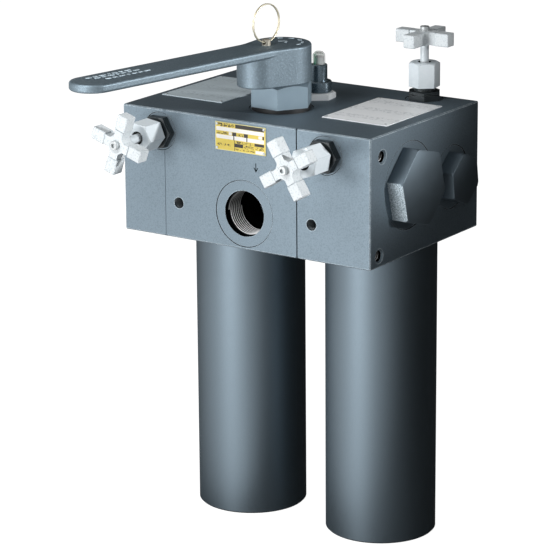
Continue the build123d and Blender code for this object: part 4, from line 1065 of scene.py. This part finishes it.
# Stage, light and camera
def seen_by(shading, direction):
    """Who looks (camera or clear parts, and metal), how far ahead, and how bright metal sees that side."""
    camera_ray = shading.node("LightPath", out="Is Camera Ray")
    metal_ray = shading.node("LightPath", out="Is Glossy Ray")
    clear_ray = shading.node("LightPath", out="Is Transmission Ray")
    ahead = shading.node(
        "VectorMath", {"operation": "DOT_PRODUCT"}, {0: direction, 1: BRIGHT_SIDE}, out="Value"
    )
    shade = shading.step(ahead, BRIGHT_SIDE_END, 1.0, DARK_SIDE)
    return camera_ray.math("MAXIMUM", clear_ray), metal_ray, ahead, shade


def floor():
    """A pale matt floor that the camera sees white, with its shadow kept."""
    low, _ = cad_box
    bpy.ops.mesh.primitive_plane_add(size=14.0, location=(0, 0, low[2] - 0.2 * MM))
    plane = bpy.context.object
    plane.name = "floor"
    finish = Finish("pale_floor", Roughness=0.9, Specular_IOR_Level=0.1)
    finish.set("Base Color", (*FLOOR_COLOR, 1.0))
    outwards = finish.node("VectorMath", {"operation": "NORMALIZE"}, {0: finish.place})
    plain, metal, _, shade = seen_by(finish, outwards)
    white = finish.blend(metal * (1.0 - shade), (1.0, 1.0, 1.0), (0.0, 0.0, 0.0))
    glow = finish.node("Emission", {}, {"Color": white, "Strength": FLOOR_GLOW})
    share = (FLOOR_SHARE * plain).math("MAXIMUM", metal)
    matt = Field(finish, finish.shader.outputs[0])
    mixed = finish.node("MixShader", {}, {0: share, 1: matt, 2: glow})
    finish.feed(finish.tree.nodes["Material Output"].inputs["Surface"], mixed)
    plane.data.materials.append(finish.material)


def hang(data, place, target):
    """Hangs a light at a place, aimed at a target."""
    light = bpy.data.objects.new(data.name, data)
    bpy.context.scene.collection.objects.link(light)
    light.location = place
    light.rotation_euler = (Vector(target) - Vector(place)).to_track_quat("-Z", "Y").to_euler()


def lamp(name, place, target, size, energy):
    """A rectangular soft light."""
    data = bpy.data.lights.new(name, "AREA")
    data.shape = "RECTANGLE"
    data.size, data.size_y = size
    data.energy = energy
    hang(data, place, target)


def spot(name, place, target, angle, energy):
    """A snooted lamp whose pool of light fades to its rim."""
    data = bpy.data.lights.new(name, "SPOT")
    data.spot_size = math.radians(angle)
    data.spot_blend = 1.0
    data.shadow_soft_size = 0.04
    data.energy = energy
    hang(data, place, target)


def world():
    """Weak even light; the camera, clear parts and metal see the studio's white."""
    scene_world = bpy.data.worlds.new("studio")
    bpy.context.scene.world = scene_world
    scene_world.use_nodes = True
    shading = Shading(scene_world.node_tree)
    plain, metal, ahead, shade = seen_by(shading, shading.node("TexCoord", out="Generated"))
    even = shading.step(ahead, -1.0, 1.0, EVEN_LIGHT_BEHIND, EVEN_LIGHT_AHEAD)
    background = shading.tree.nodes["Background"]
    shading.feed(background.inputs["Color"], (1.0, 1.0, 1.0, 1.0))
    dim = metal * shade + (1.0 - metal) * even
    shading.feed(background.inputs["Strength"], plain.math("MAXIMUM", dim))


def camera():
    """The camera, where the photo was taken from."""
    data = bpy.data.cameras.new("camera")
    data.lens = CAMERA_LENS
    data.clip_end = 50.0
    item = bpy.data.objects.new("camera", data)
    bpy.context.scene.collection.objects.link(item)
    turn = Matrix.Rotation(math.radians(CAMERA_AZIMUTH), 4, "Z")
    turn = turn @ Matrix.Rotation(math.radians(90.0 - CAMERA_ELEVATION), 4, "X")
    turn = turn @ Matrix.Rotation(math.radians(CAMERA_ROLL), 4, "Z")
    item.matrix_world = Matrix.Translation(CAMERA_PLACE) @ turn
    bpy.context.scene.camera = item


def studio():
    """Floor, soft lamps ahead, above and behind, a spot on the top right corner, and the even light."""
    floor()
    target = (0.0, 0.0, -0.05)
    lamp("key_softbox", (-0.4, -2.1, -0.02), target, (0.8, 0.55), 26.0)
    lamp("top_softbox", (-0.1, -0.6, 0.6), (0.0, 0.05, 0.05), (0.3, 0.3), 4.0)
    lamp("back_softbox", (-1.6, 1.15, 0.1), target, (0.8, 0.6), 4.5)
    spot("corner_spot", (1.5, 0.5, 0.45), (0.06, -0.06, 0.18), 19.0, 110.0)
    world()


bpy.context.scene.view_settings.view_transform = "Standard"
camera()
studio()
dress_nodes()
for port in ("in_port", "out_port"):
    mount_thread(port, PORT_PITCH, PORT_CREST, PORT_LEAD)
for mount_name in MOUNTS:
    if mount_name.endswith("_hole"):
        mount_thread(mount_name, HOLE_PITCH, HOLE_CREST, HOLE_LEAD)
front_hole_threads()
neck_threads()
for plug_side in SIDES:
    for plug_name in PLUG_SHANKS:
        side_plug(plug_side, plug_name)
for spring_node, spring_facts in SPRINGS.items():
    return_spring(spring_node, *spring_facts)
split_ring()
plate_rivets()
lever_marks()
